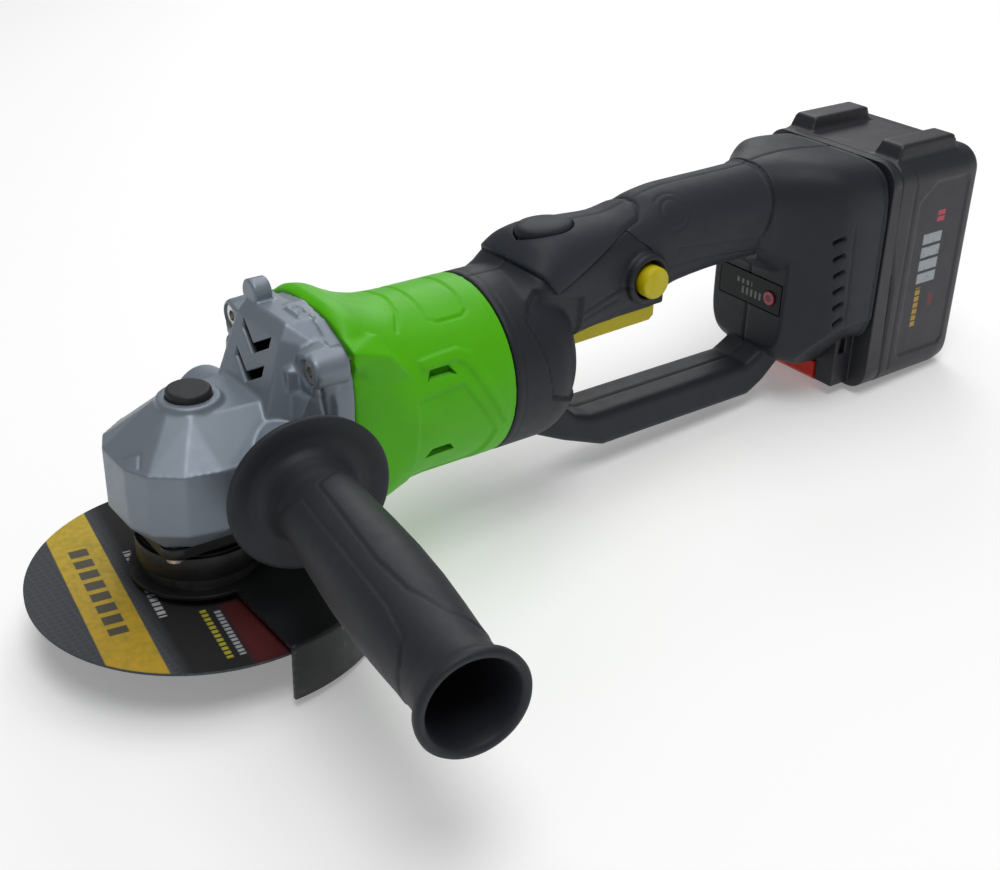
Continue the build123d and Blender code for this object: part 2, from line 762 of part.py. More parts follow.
# ---------------------------------------------------------------- rear body
COLLAR_END = 152.0
handle_stations = (
    (120, 22, 60, 97, 10),
    (129, 24, 62, 108, 12),
    (141, 23, 64, 116, 13),
    (160, 19.5, 69, 117, 12),
    (184, 17.5, 71, 117, 12),
    (206, 16.5, 75, 118, 13),
    (228, 16.5, 79.5, 118, 14),
    (276, 17.5, 79.5, 119.5, 14),
)
foot_stations = (
    (FOOT_X, 21.5, 36, 108, 8),
    (274, 24.5, 29, 119, 10),
    (287, 35.5, 25.5, 120.5, 12),
    (FOOT_END_X, 36.8, 24.5, 118.5, 12),
)
cavity_x = 299.7             # the battery tray slides into this hollow of the foot
cavity_half = 28.3
cavity_high = 110.5
inner_wall_x = 297.0
bar_outline = (
    (124, 36),
    (140, 30.5),
    (179, BAR_LOW),
    (262, BAR_LOW),
    (284, 27),
    (284, 46),
    (269, 33),
    (258, BAR_LOW + 15.5),
    (172, BAR_LOW + 16.5),
    (152, 46),
    (124, 46),
)


def loft_core(stations, inset, start_x, end_x):
    """Rounded rectangles across X joined into one solid, inset, from start_x to end_x."""
    with BuildPart(mode=Mode.PRIVATE) as core:
        for x, half, low, high, corner in stations:
            with BuildSketch(Plane.YZ.offset(min(max(x, start_x), end_x))):
                with Locations((0, (low + high) / 2)):
                    RectangleRounded(
                        2 * (half - inset), high - low - 2 * inset, corner - 0.6 * inset
                    )
        loft(ruled=True)
    return core.part


def rear_body(inset):
    """Collar, grip, foot and guard bar as one solid, inset from the outer surface."""
    opening = 1.0 if inset else 0.0
    with BuildPart(mode=Mode.PRIVATE) as body:
        with BuildSketch(motor_plane(SEAM_X - opening)):
            Circle(MOTOR_RADIUS - inset)
        extrude(amount=COLLAR_END - SEAM_X + opening - inset)
        fillet(body.edges().group_by(Axis.X)[-1], 11)
        add(loft_core(handle_stations, inset, SEAM_X, FOOT_END_X))
        add(loft_core(foot_stations, inset, FOOT_X + inset, inner_wall_x if inset else FOOT_END_X))
        with BuildSketch(Plane.XZ):
            with BuildLine():
                Polyline(*bar_outline, close=True)
            make_face()
            if inset:
                offset(amount=-inset, mode=Mode.REPLACE)
        extrude(amount=BAR_HALF - inset, both=True)
    return body.part


soft_outline = (
    (127, 96),
    (143, 93),
    (178, 105),
    (194, 104),
    (208, 96),
    (259, 90),
    (259, 130),
    (127, 130),
)
soft_depth = 1.6
with BuildPart() as soft_region:
    with BuildSketch(Plane.XZ):
        with BuildLine():
            Polyline(*soft_outline, close=True)
        make_face()
    extrude(amount=60, both=True)
    # the overmould starts behind the collar
    with BuildSketch(motor_plane(SEAM_X)):
        Circle(MOTOR_RADIUS)
    extrude(amount=COLLAR_END - SEAM_X, mode=Mode.SUBTRACT)

TOP_BUTTON_X = 151.0
top_button_size = (24.0, 15.0)
LOCK_OFF_X = 189.5
LOCK_OFF_Z = 89.0
LOCK_OFF_RADIUS = 7.8
LOCK_OFF_FACE = -25.0
boss_face = -21.0
trigger_front = 160.0
trigger_rear = 205.0
trigger_half = 7.5
trigger_pin_x = 166.0
trigger_pin_z = 72.0
panel_y = -1.0
panel_z = 60.5
panel_size = (37.0, 14.0)
panel_button_y = -13.0
panel_button_z = 60.0

side_view = Plane(origin=(0, 0, 0), x_dir=(1, 0, 0), z_dir=(0, -1, 0))
top_view = Plane(origin=(TOP_BUTTON_X, 0, 108), x_dir=(1, 0, 0), z_dir=(0, 0, 1))
front_view = Plane(origin=(FOOT_X, 0, 0), x_dir=(0, 1, 0), z_dir=(1, 0, 0))

outer_body = rear_body(0)
inner_body = rear_body(WALL)

with BuildPart() as grip_overmould:
    add(loft_core(handle_stations, 0, SEAM_X, FOOT_END_X))
    add(soft_region.part, mode=Mode.INTERSECT)
    add(loft_core(handle_stations, soft_depth, SEAM_X, FOOT_END_X), mode=Mode.SUBTRACT)
    with BuildSketch(top_view):
        SlotOverall(top_button_size[0] + 2 * CLEAR + 2.6, top_button_size[1] + 2 * CLEAR + 2.6)
    extrude(amount=30, mode=Mode.SUBTRACT)
save(grip_overmould, "grip_overmould")

boss_places = ((136, 50), (159, 96), (222, 98), (250, 20.5), (200, 20.5), (282, 48), (282, 104))
head_seat_y = 7.4            # the shell screws' heads sit this deep in the far half
thread_depth = 9.0
with BuildPart() as screw_bosses:
    with BuildSketch(Plane.XZ):
        with Locations(*boss_places):
            Circle(4.6)
    extrude(amount=60, both=True)
    add(outer_body, mode=Mode.INTERSECT)

with BuildPart() as shell:
    add(outer_body)
    add(inner_body, mode=Mode.SUBTRACT)
    add(screw_bosses.part)
    # boss round the lock-off button
    with BuildSketch(side_view.offset(12)):
        with Locations((LOCK_OFF_X, LOCK_OFF_Z)):
            Circle(10.5)
    extrude(amount=-boss_face - 12)
    # rim of the well for the top button
    with BuildSketch(top_view):
        SlotOverall(top_button_size[0] + 2 * CLEAR + 2.6, top_button_size[1] + 2 * CLEAR + 2.6)
    extrude(amount=8)
    add(grip_overmould.part, mode=Mode.SUBTRACT)
    with BuildSketch(top_view.offset(1.5)):
        SlotOverall(top_button_size[0] + 2 * CLEAR, top_button_size[1] + 2 * CLEAR)
    extrude(amount=30, mode=Mode.SUBTRACT)
    with BuildSketch(top_view.offset(-2)):
        Circle(2.4)
    extrude(amount=6, mode=Mode.SUBTRACT)
    with BuildSketch(side_view.offset(8)):
        with Locations((LOCK_OFF_X, LOCK_OFF_Z)):
            Circle(LOCK_OFF_RADIUS + CLEAR)
    extrude(amount=40, mode=Mode.SUBTRACT)
    # slot for the trigger
    with BuildSketch(Plane.XY.offset(60)):
        with Locations(((trigger_front + trigger_rear) / 2, 0)):
            Rectangle(trigger_rear - trigger_front + 1.6, 2 * trigger_half + 1.0)
    extrude(amount=17.5, mode=Mode.SUBTRACT)
    # recess for the indicator panel and the hole for its button
    with BuildSketch(front_view):
        with Locations((panel_y, panel_z)):
            Rectangle(*panel_size)
    extrude(amount=1.2, both=True, mode=Mode.SUBTRACT)
    with BuildSketch(front_view):
        with Locations((panel_button_y, panel_button_z)):
            Circle(3.6)
    extrude(amount=6, both=True, mode=Mode.SUBTRACT)
    # hollow that takes the battery tray, open at the bottom, with its two rails
    with BuildSketch(Plane.XY.offset(10)):
        with Locations(((cavity_x + FOOT_END_X + 2) / 2, 0)):
            Rectangle(FOOT_END_X + 2 - cavity_x, 2 * cavity_half)
    extrude(amount=cavity_high - 10, mode=Mode.SUBTRACT)
    with BuildSketch(Plane.XY.offset(32)):
        with GridLocations(0, 2 * (cavity_half - 1.4), 1, 2):
            with Locations((304.7, 0)):
                Rectangle(3.0, 3.2)
    extrude(amount=cavity_high - 32)
    # slanted cooling slots on both sides of the foot
    with BuildSketch(side_view):
        for index in range(6):
            with Locations(Location((289.5, 85.5 - 7.4 * index), -50)):
                SlotOverall(5.6, 1.7)
    extrude(amount=60, both=True, mode=Mode.SUBTRACT)
    # screw holes: through in the far half, blind in the near half
    with BuildSketch(side_view.offset(-60)):
        with Locations(*boss_places):
            Circle(M3)
    extrude(amount=60 + thread_depth, mode=Mode.SUBTRACT)
    with BuildSketch(side_view.offset(-60)):
        with Locations(*boss_places):
            Circle(3.1)
    extrude(amount=60 - head_seat_y, mode=Mode.SUBTRACT)

for label, kept in (("handle_shell_left", Keep.TOP), ("handle_shell_right", Keep.BOTTOM)):
    with BuildPart() as half:
        add(shell.part)
        split(bisect_by=Plane.XZ, keep=kept)
    save(half, label)

with BuildPart() as shell_screws:
    for x, z in boss_places:
        shell_seat = Plane(origin=(x, head_seat_y, z), x_dir=(1, 0, 0), z_dir=(0, 1, 0))
        add(screw(shell_seat, 2.8, 2.2, M3 - 0.02, 15, 1.3))
save(shell_screws, "shell_screws")

# ---------------------------------------------------------------- controls in the grip
with BuildPart() as trigger:
    with BuildSketch(Plane.XZ):
        with BuildLine():
            Polyline(
                (trigger_front, TRIGGER_LOW),
                (trigger_rear - 2, TRIGGER_LOW + 1.2),
                (trigger_rear, TRIGGER_LOW + 3),
                (trigger_rear, TRIGGER_LOW + 7.4),
                (trigger_rear - 2, TRIGGER_LOW + 8.6),
                (trigger_rear - 4, 74.0),
                (172, 73.0),
                (trigger_pin_x + 2, trigger_pin_z + 2.6),
                (trigger_pin_x - 2, trigger_pin_z + 2.6),
                (trigger_front + 1, TRIGGER_LOW + 7.5),
                (trigger_front, TRIGGER_LOW + 6.5),
                close=True,
            )
        make_face()
    extrude(amount=trigger_half, both=True)
    with BuildSketch(Plane.XZ):
        with Locations((trigger_pin_x, trigger_pin_z)):
            Circle(1.55)
    extrude(amount=20, both=True, mode=Mode.SUBTRACT)
    fillet(trigger.edges().filter_by(Axis.X).group_by(Axis.Z)[0], 1.0)
save(trigger, "trigger")

with BuildPart() as trigger_pin:
    with BuildSketch(Plane.XZ):
        with Locations((trigger_pin_x, trigger_pin_z)):
            Circle(1.5)
    extrude(amount=8.0, both=True)
save(trigger_pin, "trigger_pin")

trigger_spring = coil(Plane(origin=(193, 0, 75.0), z_dir=(0, 0, 1)), 2.6, 0.3, 5.4, 4)
save(trigger_spring, "trigger_spring")

with BuildPart() as trigger_switch:
    with BuildSketch(Plane.XY.offset(81.2)):
        with Locations((182, 0)):
            RectangleRounded(30, 15, 2)
    extrude(amount=20)
    with BuildSketch(Plane.XY.offset(78.6)):
        with Locations((175, 0)):
            Circle(2.4)
    extrude(amount=3)
save(trigger_switch, "trigger_switch")

with BuildPart() as lock_off_button:
    with BuildSketch(side_view.offset(-LOCK_OFF_FACE)):
        with Locations((LOCK_OFF_X, LOCK_OFF_Z)):
            Circle(LOCK_OFF_RADIUS)
    extrude(amount=-9)
    fillet(lock_off_button.edges().group_by(Axis.Y)[0], 1.0)
    with BuildSketch(side_view.offset(-LOCK_OFF_FACE - 9)):
        with Locations((LOCK_OFF_X, LOCK_OFF_Z)):
            Circle(2.0)
    extrude(amount=-4)
save(lock_off_button, "lock_off_button")

lock_off_spring = coil(
    Plane(origin=(LOCK_OFF_X, -15.6, LOCK_OFF_Z), z_dir=(0, 1, 0)), 4.6, 0.3, 7.4, 4
)
save(lock_off_spring, "lock_off_spring")

with BuildPart() as top_button:
    with BuildSketch(top_view.offset(4.0)):
        SlotOverall(*top_button_size)
    extrude(amount=5.8)
    fillet(top_button.edges().group_by(Axis.Z)[-1], 2.2)
    with BuildSketch(top_view.offset(4.0)):
        SlotOverall(top_button_size[0] - 4, top_button_size[1] - 4)
    extrude(amount=4.4, mode=Mode.SUBTRACT)
save(top_button, "top_button")

top_button_spring = coil(Plane(origin=(TOP_BUTTON_X, 0, 109.9), z_dir=(0, 0, 1)), 3.4, 0.3, 4.9, 4)
save(top_button_spring, "top_button_spring")

with BuildPart() as indicator_panel:
    with BuildSketch(front_view.offset(-0.2)):
        with Locations((panel_y, panel_z)):
            Rectangle(panel_size[0] - 0.4, panel_size[1] - 0.4)
        with Locations((panel_button_y, panel_button_z)):
            Circle(3.5, mode=Mode.SUBTRACT)
    extrude(amount=1.4)
save(indicator_panel, "indicator_panel")

with BuildPart() as indicator_button:
    with BuildSketch(front_view.offset(-1.0)):
        with Locations((panel_button_y, panel_button_z)):
            Circle(3.2)
    extrude(amount=4.0)
save(indicator_button, "indicator_button")

board_depth = 22.5           # behind the front face of the foot
with BuildPart() as controller_board:
    with BuildSketch(front_view.offset(board_depth)):
        with Locations((0, 69)):
            Rectangle(50, 58)
    extrude(amount=1.6)
    with BuildSketch(front_view.offset(board_depth)):
        with Locations((0, 88)):
            with GridLocations(11, 0, 3, 1):
                Rectangle(6.5, 9)
    extrude(amount=-3.2)
    with BuildSketch(front_view.offset(board_depth)):
        with Locations((-9, 70), (9, 70)):
            Circle(5)
    extrude(amount=-9)
save(controller_board, "controller_board")

block_low = 88.0
blade_low = 78.0
with BuildPart() as terminal_block:
    with BuildSketch(Plane.XY.offset(block_low)):
        with Locations((302.9, 0)):
            Rectangle(6.4, 24)
    extrude(amount=20)
save(terminal_block, "terminal_block")

with BuildPart() as terminal_blades:
    with BuildSketch(Plane.XY.offset(blade_low)):
        with Locations((303.2, 0)):
            with GridLocations(0, 8, 1, 3):
                Rectangle(4.4, 0.8)
    extrude(amount=block_low - blade_low)
save(terminal_blades, "terminal_blades")

# ---------------------------------------------------------------- battery pack
tray_x = cavity_x + 0.6
tray_half = cavity_half - 0.6
tray_low = 14.0
tray_high = 108.0
base_x = FOOT_END_X + CLEAR
split_top = 316.0
split_low = 321.0
latch_high = 23.0
latch_half = 17.0
latch_rear = 309.5

with BuildPart() as pack_outline:
    with BuildSketch(Plane.YZ.offset(base_x)):
        with Locations((0, (BATTERY_LOW + BATTERY_HIGH) / 2)):
            RectangleRounded(2 * BATTERY_HALF, BATTERY_HIGH - BATTERY_LOW, 10)
    extrude(amount=BATTERY_END_X - base_x)
    fillet(pack_outline.edges().group_by(Axis.X)[-1], 8)

with BuildPart() as front_region:
    with BuildSketch(Plane.XZ):
        with BuildLine():
            Polyline(
                (base_x - 5, 0), (split_low + 0.5, 0), (split_top - 0.3, 135), (base_x - 5, 135), close=True
            )
        make_face()
    extrude(amount=60, both=True)

with BuildPart() as battery_base:
    add(pack_outline.part)
    add(front_region.part, mode=Mode.INTERSECT)
    with BuildSketch(Plane.YZ.offset(base_x + 3)):
        with Locations((0, 65)):
            RectangleRounded(68, 98, 6)
    extrude(amount=20, mode=Mode.SUBTRACT)
    # tray with rail grooves, terminal recess and latch pocket
    with BuildSketch(Plane.XY.offset(tray_low)):
        with Locations(((tray_x + base_x) / 2, 0)):
            Rectangle(base_x - tray_x, 2 * tray_half)
    extrude(amount=tray_high - tray_low)
    with BuildSketch(Plane.XY.offset(30)):
        with GridLocations(0, 2 * (tray_half - 1.2), 1, 2):
            with Locations((304.7, 0)):
                Rectangle(3.8, 3.6)
    extrude(amount=100, mode=Mode.SUBTRACT)
    with BuildSketch(Plane.XY.offset(blade_low - 12)):
        with Locations((303.4, 0)):
            Rectangle(7.4, 25)
    extrude(amount=100, mode=Mode.SUBTRACT)
    with BuildSketch(Plane.XY.offset(tray_low - 5)):
        with Locations(((tray_x + latch_rear + 3) / 2 - 2, 0)):
            Rectangle(latch_rear + 3 - tray_x + 4, 2 * latch_half + 0.6)
    extrude(amount=latch_high + CLEAR - tray_low + 5, mode=Mode.SUBTRACT)
save(battery_base, "battery_base")

with BuildPart() as battery_shell:
    add(pack_outline.part)
    add(front_region.part, mode=Mode.SUBTRACT)
    with BuildSketch(Plane.YZ.offset(310)):
        with Locations((0, 65.25)):
            RectangleRounded(2 * (BATTERY_HALF - WALL), BATTERY_HIGH - BATTERY_LOW - 2 * WALL, 8)
    extrude(amount=BATTERY_END_X - WALL - 310, mode=Mode.SUBTRACT)
    # two ribs on top
    for side in (-1, 1):
        with BuildSketch(Plane.XZ.offset(side * 25)):
            with BuildLine():
                Polyline(
                    (319, BATTERY_HIGH - 1), (322, 124.5), (352, 125), (358, BATTERY_HIGH - 1), close=True
                )
            make_face()
        extrude(amount=5.5, both=True)
    # label recesses on both sides
    with BuildSketch(Plane.XZ.offset(BATTERY_HALF - 0.5)):
        with Locations((344, 66)):
            RectangleRounded(38, 84, 4)
    extrude(amount=5, mode=Mode.SUBTRACT)
    with BuildSketch(Plane.XZ.offset(-BATTERY_HALF + 0.5)):
        with Locations((344, 66)):
            RectangleRounded(38, 84, 4)
    extrude(amount=-5, mode=Mode.SUBTRACT)
save(battery_shell, "battery_shell")

with BuildPart() as battery_cells:
    with BuildSketch(Plane.XZ):
        with Locations((344.4, 65.2)):
            with GridLocations(19.2, 19.2, 2, 5):
                Circle(9.1)
    extrude(amount=32.5, both=True)
save(battery_cells, "battery_cells")

with BuildPart() as battery_board:
    with BuildSketch(Plane.YZ.offset(base_x + 8)):
        with Locations((0, 65)):
            Rectangle(50, 76)
    extrude(amount=1.6)
save(battery_board, "battery_board")

with BuildPart() as battery_contacts:
    with BuildSketch(Plane.XY.offset(blade_low - 11.8)):
        with Locations((304.2, 0)):
            with GridLocations(0, 8, 1, 3):
                Rectangle(5.4, 3.6)
    extrude(amount=9.5)
save(battery_contacts, "battery_contacts")

with BuildPart() as battery_latch:
    with BuildSketch(Plane.XZ):
        with BuildLine():
            Polyline(
                (tray_x - 1.2, tray_low + 1.5),
                (tray_x + 1, tray_low - 0.8),
                (latch_rear - 2.6, tray_low - 0.8),
                (latch_rear - 2.6, latch_high),
                (tray_x - 1.2, latch_high),
                close=True,
            )
        make_face()
    extrude(amount=latch_half, both=True)
save(battery_latch, "battery_latch")

latch_spring = coil(
    Plane(origin=(latch_rear - 2.2, 0, 18.5), z_dir=(1, 0, 0)), 2.6, 0.3, 4.6, 4
)
save(latch_spring, "latch_spring")

# ---------------------------------------------------------------- side handle
flange_face = 52.6
for side, label in ((-1, "near_handle_socket"), (1, "far_handle_socket")):
    socket = ring(
        side_plane(side, SOCKET_START), 6.5, SOCKET_RADIUS, SOCKET_END - SOCKET_START
    )
    save(socket, label)

with BuildPart() as side_handle_stud:
    with BuildSketch(side_plane(-1, SOCKET_START + 2)):
        Circle(SOCKET_RADIUS - 0.02)
    extrude(amount=52)
save(side_handle_stud, "side_handle_stud")

grip_profile = (
    (36.4, 11.5),
    (41.0, 12.5),
    (46.5, 26.0),
    (50.5, 28.2),
    (flange_face, 28.2),
    (53.6, 25.5),
    (54.5, 17.5),
    (60.0, 14.2),
    (75.0, 14.0),
    (105.0, 15.6),
    (135.0, 14.6),
    (152.0, 13.9),
    (161.0, 15.4),
    (168.5, 17.5),
    (HANDLE_END - 1, 17.5),
    (HANDLE_END, 16.6),
)
handle_plane = side_plane(-1, 0)
handle_section = Plane(
    origin=handle_plane.origin, x_dir=handle_plane.z_dir, z_dir=handle_plane.y_dir
)
handle_axis = Axis(handle_plane.origin, handle_plane.z_dir)
with BuildPart() as side_handle_grip:
    with BuildSketch(handle_section):
        with BuildLine():
            Polyline(
                (36.4, SOCKET_RADIUS),
                *grip_profile,
                (HANDLE_END, 13.9),
                (HANDLE_END - 1.2, 13.6),
                (HANDLE_END - 30, 12.0),
                (HANDLE_END - 44, 9.0),
                (HANDLE_END - 44, 0),
                (SOCKET_START + 54, 0),
                (SOCKET_START + 54, SOCKET_RADIUS),
                close=True,
            )
        make_face()
    revolve(axis=handle_axis)
save(side_handle_grip, "side_handle_grip")
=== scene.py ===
"""Looks of the cordless angle grinder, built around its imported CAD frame.

Places and sizes are written in millimetres; the mesh tools and MM turn them into metres.
"""
import json
import math

import bmesh
import bpy
import numpy as np
from mathutils import Matrix, Vector


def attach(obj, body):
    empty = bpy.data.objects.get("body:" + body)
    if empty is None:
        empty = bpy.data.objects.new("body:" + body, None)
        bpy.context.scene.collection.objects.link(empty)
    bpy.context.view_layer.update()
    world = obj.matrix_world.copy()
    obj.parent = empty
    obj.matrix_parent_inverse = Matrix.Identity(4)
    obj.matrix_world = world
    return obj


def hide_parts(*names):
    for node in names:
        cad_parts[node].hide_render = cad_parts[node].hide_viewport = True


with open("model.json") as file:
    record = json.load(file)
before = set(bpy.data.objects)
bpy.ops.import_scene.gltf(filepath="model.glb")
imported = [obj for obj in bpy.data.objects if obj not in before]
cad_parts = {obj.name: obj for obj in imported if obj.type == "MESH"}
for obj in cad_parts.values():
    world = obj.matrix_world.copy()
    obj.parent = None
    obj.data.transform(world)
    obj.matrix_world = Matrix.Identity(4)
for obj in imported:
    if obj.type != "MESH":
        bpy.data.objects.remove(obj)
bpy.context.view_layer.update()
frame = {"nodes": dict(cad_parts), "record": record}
NODES = frame["nodes"]
MM = 0.001

# ---- sizes shared with the CAD model
MOTOR_Z = 64.5
FLANGE_X = 46.0
SEAM_X = 113.9
SCREW_Y = 28.0
SCREW_PLACES = [(y, MOTOR_Z + rise) for y in (-SCREW_Y, SCREW_Y) for rise in (-29, 29)]
HANDLE_X = 24.9
HANDLE_Z = 62.7
HANDLE_TILT = math.radians(8.8)
FOOT_END_X = 311.0
BATTERY_LOW = 12.0
BATTERY_BACK_X = 363.0
SKIRT_X = 66.5
SKIRT_LOW = -4.5
LOCK_OFF_X = 189.5
LOCK_OFF_Z = 89.0
LOCK_OFF_FACE = -25.0
CAP_X = 151.0
PANEL_BUTTON_Y = -13.0
PANEL_BUTTON_Z = 60.0


# ---- camera, lights and floor
def add_object(name, data):
    """A new object in the scene."""
    made = bpy.data.objects.new(name, data)
    bpy.context.scene.collection.objects.link(made)
    return made


def make_camera():
    """Camera on the near side of the head, turned by 37 degrees and looking down by 28."""
    azimuth, elevation, roll = math.radians(-37.09), math.radians(28.34), math.radians(1.61)
    back = Vector((
        math.sin(azimuth) * math.cos(elevation),
        -math.cos(azimuth) * math.cos(elevation),
        math.sin(elevation),
    ))
    right = Vector((math.cos(azimuth), math.sin(azimuth), 0))
    up = back.cross(right)
    side = right * math.cos(roll) + up * math.sin(roll)
    top = up * math.cos(roll) - right * math.sin(roll)
    data = bpy.data.cameras.new("camera")
    data.lens = 52.44
    data.sensor_width = 36.0
    data.clip_start = 0.01
    data.clip_end = 20.0
    camera = add_object("camera", data)
    turn = Matrix((side, top, back)).transposed().to_4x4()
    camera.matrix_world = Matrix.Translation(Vector((-180.7, -414.7, 307.2)) * MM) @ turn
    bpy.context.scene.camera = camera


def area_light(name, place, target, size, power, colour=(1, 1, 1)):
    data = bpy.data.lights.new(name, "AREA")
    data.shape = "DISK"
    data.size = size
    data.energy = power
    data.color = colour
    lamp = add_object(name, data)
    lamp.location = place
    lamp.rotation_euler = (Vector(target) - Vector(place)).to_track_quat("-Z", "Y").to_euler()


def make_stage():
    """Pale floor that touches the guard's skirt and the battery, and a soft studio around it."""
    rise = (BATTERY_LOW - SKIRT_LOW) / (BATTERY_BACK_X - SKIRT_X)
    half = 3.0
    mesh = bpy.data.meshes.new("floor")
    corners = [(x, y, SKIRT_LOW * MM + (x - SKIRT_X * MM) * rise) for x, y in
               ((-half, -half), (half, -half), (half, half), (-half, half))]
    mesh.from_pydata(corners, [], [(0, 1, 2, 3)])
    floor = add_object("floor", mesh)
    paper = plain_material("floor_paper", (0.86, 0.86, 0.86), 0.9)
    paper.node_tree.nodes["Principled BSDF"].inputs["Emission Color"].default_value = (1, 1, 1, 1)
    paper.node_tree.nodes["Principled BSDF"].inputs["Emission Strength"].default_value = 0.22
    floor.data.materials.append(paper)
    world = bpy.data.worlds.new("studio")
    world.use_nodes = True
    background = world.node_tree.nodes["Background"]
    background.inputs["Color"].default_value = (1, 1, 1, 1)
    background.inputs["Strength"].default_value = 0.22
    bpy.context.scene.world = world
    middle = (0.15, 0, 0.05)
    area_light("key", (-0.25, -0.65, 1.75), middle, 0.9, 11.5)
    area_light("top", (0.3, 0.2, 1.5), middle, 1.4, 9)
    area_light("rim", (0.9, 0.9, 0.8), middle, 0.8, 4)
    area_light("fill", (1.1, -1.2, 0.5), middle, 1.2, 0.6)
    bpy.context.scene.view_settings.view_transform = "Standard"


def plain_material(name, colour, roughness):
    material = bpy.data.materials.new(name)
    material.use_nodes = True
    shader = material.node_tree.nodes["Principled BSDF"]
    shader.inputs["Base Color"].default_value = (*colour, 1)
    shader.inputs["Roughness"].default_value = roughness
    return material


# ---- materials
class Surface:
    """A node material built up step by step around one Principled shader, in object coordinates."""

    def __init__(self, name, roughness=0.5, metallic=0.0, specular=0.5):
        self.material = bpy.data.materials.new(name)
        self.material.use_nodes = True
        self.tree = self.material.node_tree
        self.shader = self.tree.nodes["Principled BSDF"]
        self.shader.inputs["Roughness"].default_value = roughness
        self.shader.inputs["Metallic"].default_value = metallic
        self.shader.inputs["Specular IOR Level"].default_value = specular
        self.coords = self.tree.nodes.new("ShaderNodeTexCoord").outputs["Object"]
        self.normal = None

    def node(self, kind, **inputs):
        made = self.tree.nodes.new(kind)
        for key, value in inputs.items():
            socket = made.inputs[int(key[1:])] if key[0] == "_" and key[1:].isdigit() else made.inputs[key]
            if isinstance(value, bpy.types.NodeSocket):
                self.tree.links.new(value, socket)
            else:
                socket.default_value = value
        return made

    def math(self, operation, first, second=0.0, clamp=False):
        made = self.node("ShaderNodeMath", _0=first, _1=second)
        made.operation = operation
        made.use_clamp = clamp
        return made.outputs[0]

    def times(self, first, second):
        return self.math("MULTIPLY", first, second)

    def noise(self, size, detail=4.0, rough=0.5, stretch=(1, 1, 1)):
        """Noise whose features are about size metres across."""
        place = self.coords
        if stretch != (1, 1, 1):
            place = self.node("ShaderNodeMapping", Vector=place, Scale=stretch).outputs[0]
        made = self.node("ShaderNodeTexNoise", Vector=place, Scale=1 / size, Detail=detail, Roughness=rough)
        return made.outputs["Fac"]

    def ramp(self, value, low, high):
        made = self.node("ShaderNodeMapRange", _0=value, _1=low, _2=high, _3=0.0, _4=1.0)
        return made.outputs[0]

    def mix(self, factor, first, second):
        """Blend two colours; either is a socket or three numbers."""
        made = self.tree.nodes.new("ShaderNodeMix")
        made.data_type = "RGBA"
        for socket, value in ((made.inputs[0], factor), (made.inputs[6], first), (made.inputs[7], second)):
            if isinstance(value, bpy.types.NodeSocket):
                self.tree.links.new(value, socket)
            elif isinstance(value, (int, float)):
                socket.default_value = value
            else:
                socket.default_value = (*value, 1)
        return made.outputs[2]

    def bump(self, height, distance, strength=1.0):
        made = self.node("ShaderNodeBump", Height=height, Distance=distance, Strength=strength)
        if self.normal is not None:
            self.tree.links.new(self.normal, made.inputs["Normal"])
        self.normal = made.outputs[0]

    def soften(self, radius):
        """Rounds hard edges in the shading."""
        made = self.node("ShaderNodeBevel", Radius=radius)
        made.samples = 4
        self.normal = made.outputs[0]

    def edge(self):
        """0 on flat ground and up to 1 along convex edges."""
        point = self.tree.nodes.new("ShaderNodeNewGeometry").outputs["Pointiness"]
        return self.ramp(point, 0.54, 0.68)

    def separate(self):
        made = self.node("ShaderNodeSeparateXYZ", Vector=self.coords)
        return made.outputs[0], made.outputs[1], made.outputs[2]

    def finish(self, colour, roughness=None):
        self.tree.links.new(colour, self.shader.inputs["Base Color"])
        if roughness is not None:
            self.tree.links.new(roughness, self.shader.inputs["Roughness"])
        if self.normal is not None:
            self.tree.links.new(self.normal, self.shader.inputs["Normal"])
        return self.material


def moulded(name, colour, worn, roughness=0.5, grain=0.35, depth=0.03, specular=0.32, soft=0.4):
    """Moulded plastic: fine spark-eroded grain, faint blotches, edges rubbed towards the worn colour."""
    s = Surface(name, roughness, specular=specular)
    if soft:
        s.soften(soft * MM)
    blotch = s.ramp(s.noise(14 * MM, 3), 0.3, 0.7)
    base = s.mix(s.times(blotch, 0.35), colour, [c * 0.78 for c in colour])
    scuff = s.ramp(s.noise(2.2 * MM, 6, 0.7), 0.45, 0.75)
    worn_share = s.times(s.times(s.edge(), scuff), 0.55)
    shade = s.mix(worn_share, base, worn)
    grain_noise = s.noise(grain * MM, 2, 0.6)
    s.bump(grain_noise, depth * MM, 0.6)
    rough = s.math("ADD", s.times(s.noise(5 * MM, 5), 0.16), roughness - 0.08)
    return s.finish(shade, rough)


def machined(name, colour, roughness=0.32, soft=0.15, brushed=(1, 1, 8)):
    """Bare steel: fine turning marks, slight tarnish and a soft edge."""
    s = Surface(name, roughness, metallic=1.0)
    if soft:
        s.soften(soft * MM)
    marks = s.noise(0.6 * MM, 3, 0.6, brushed)
    tarnish = s.ramp(s.noise(6 * MM, 4), 0.35, 0.7)
    shade = s.mix(s.times(tarnish, 0.4), colour, [c * 0.62 for c in colour])
    s.bump(marks, 0.02 * MM, 0.5)
    rough = s.math("ADD", s.times(marks, 0.2), roughness - 0.1)
    return s.finish(shade, rough)


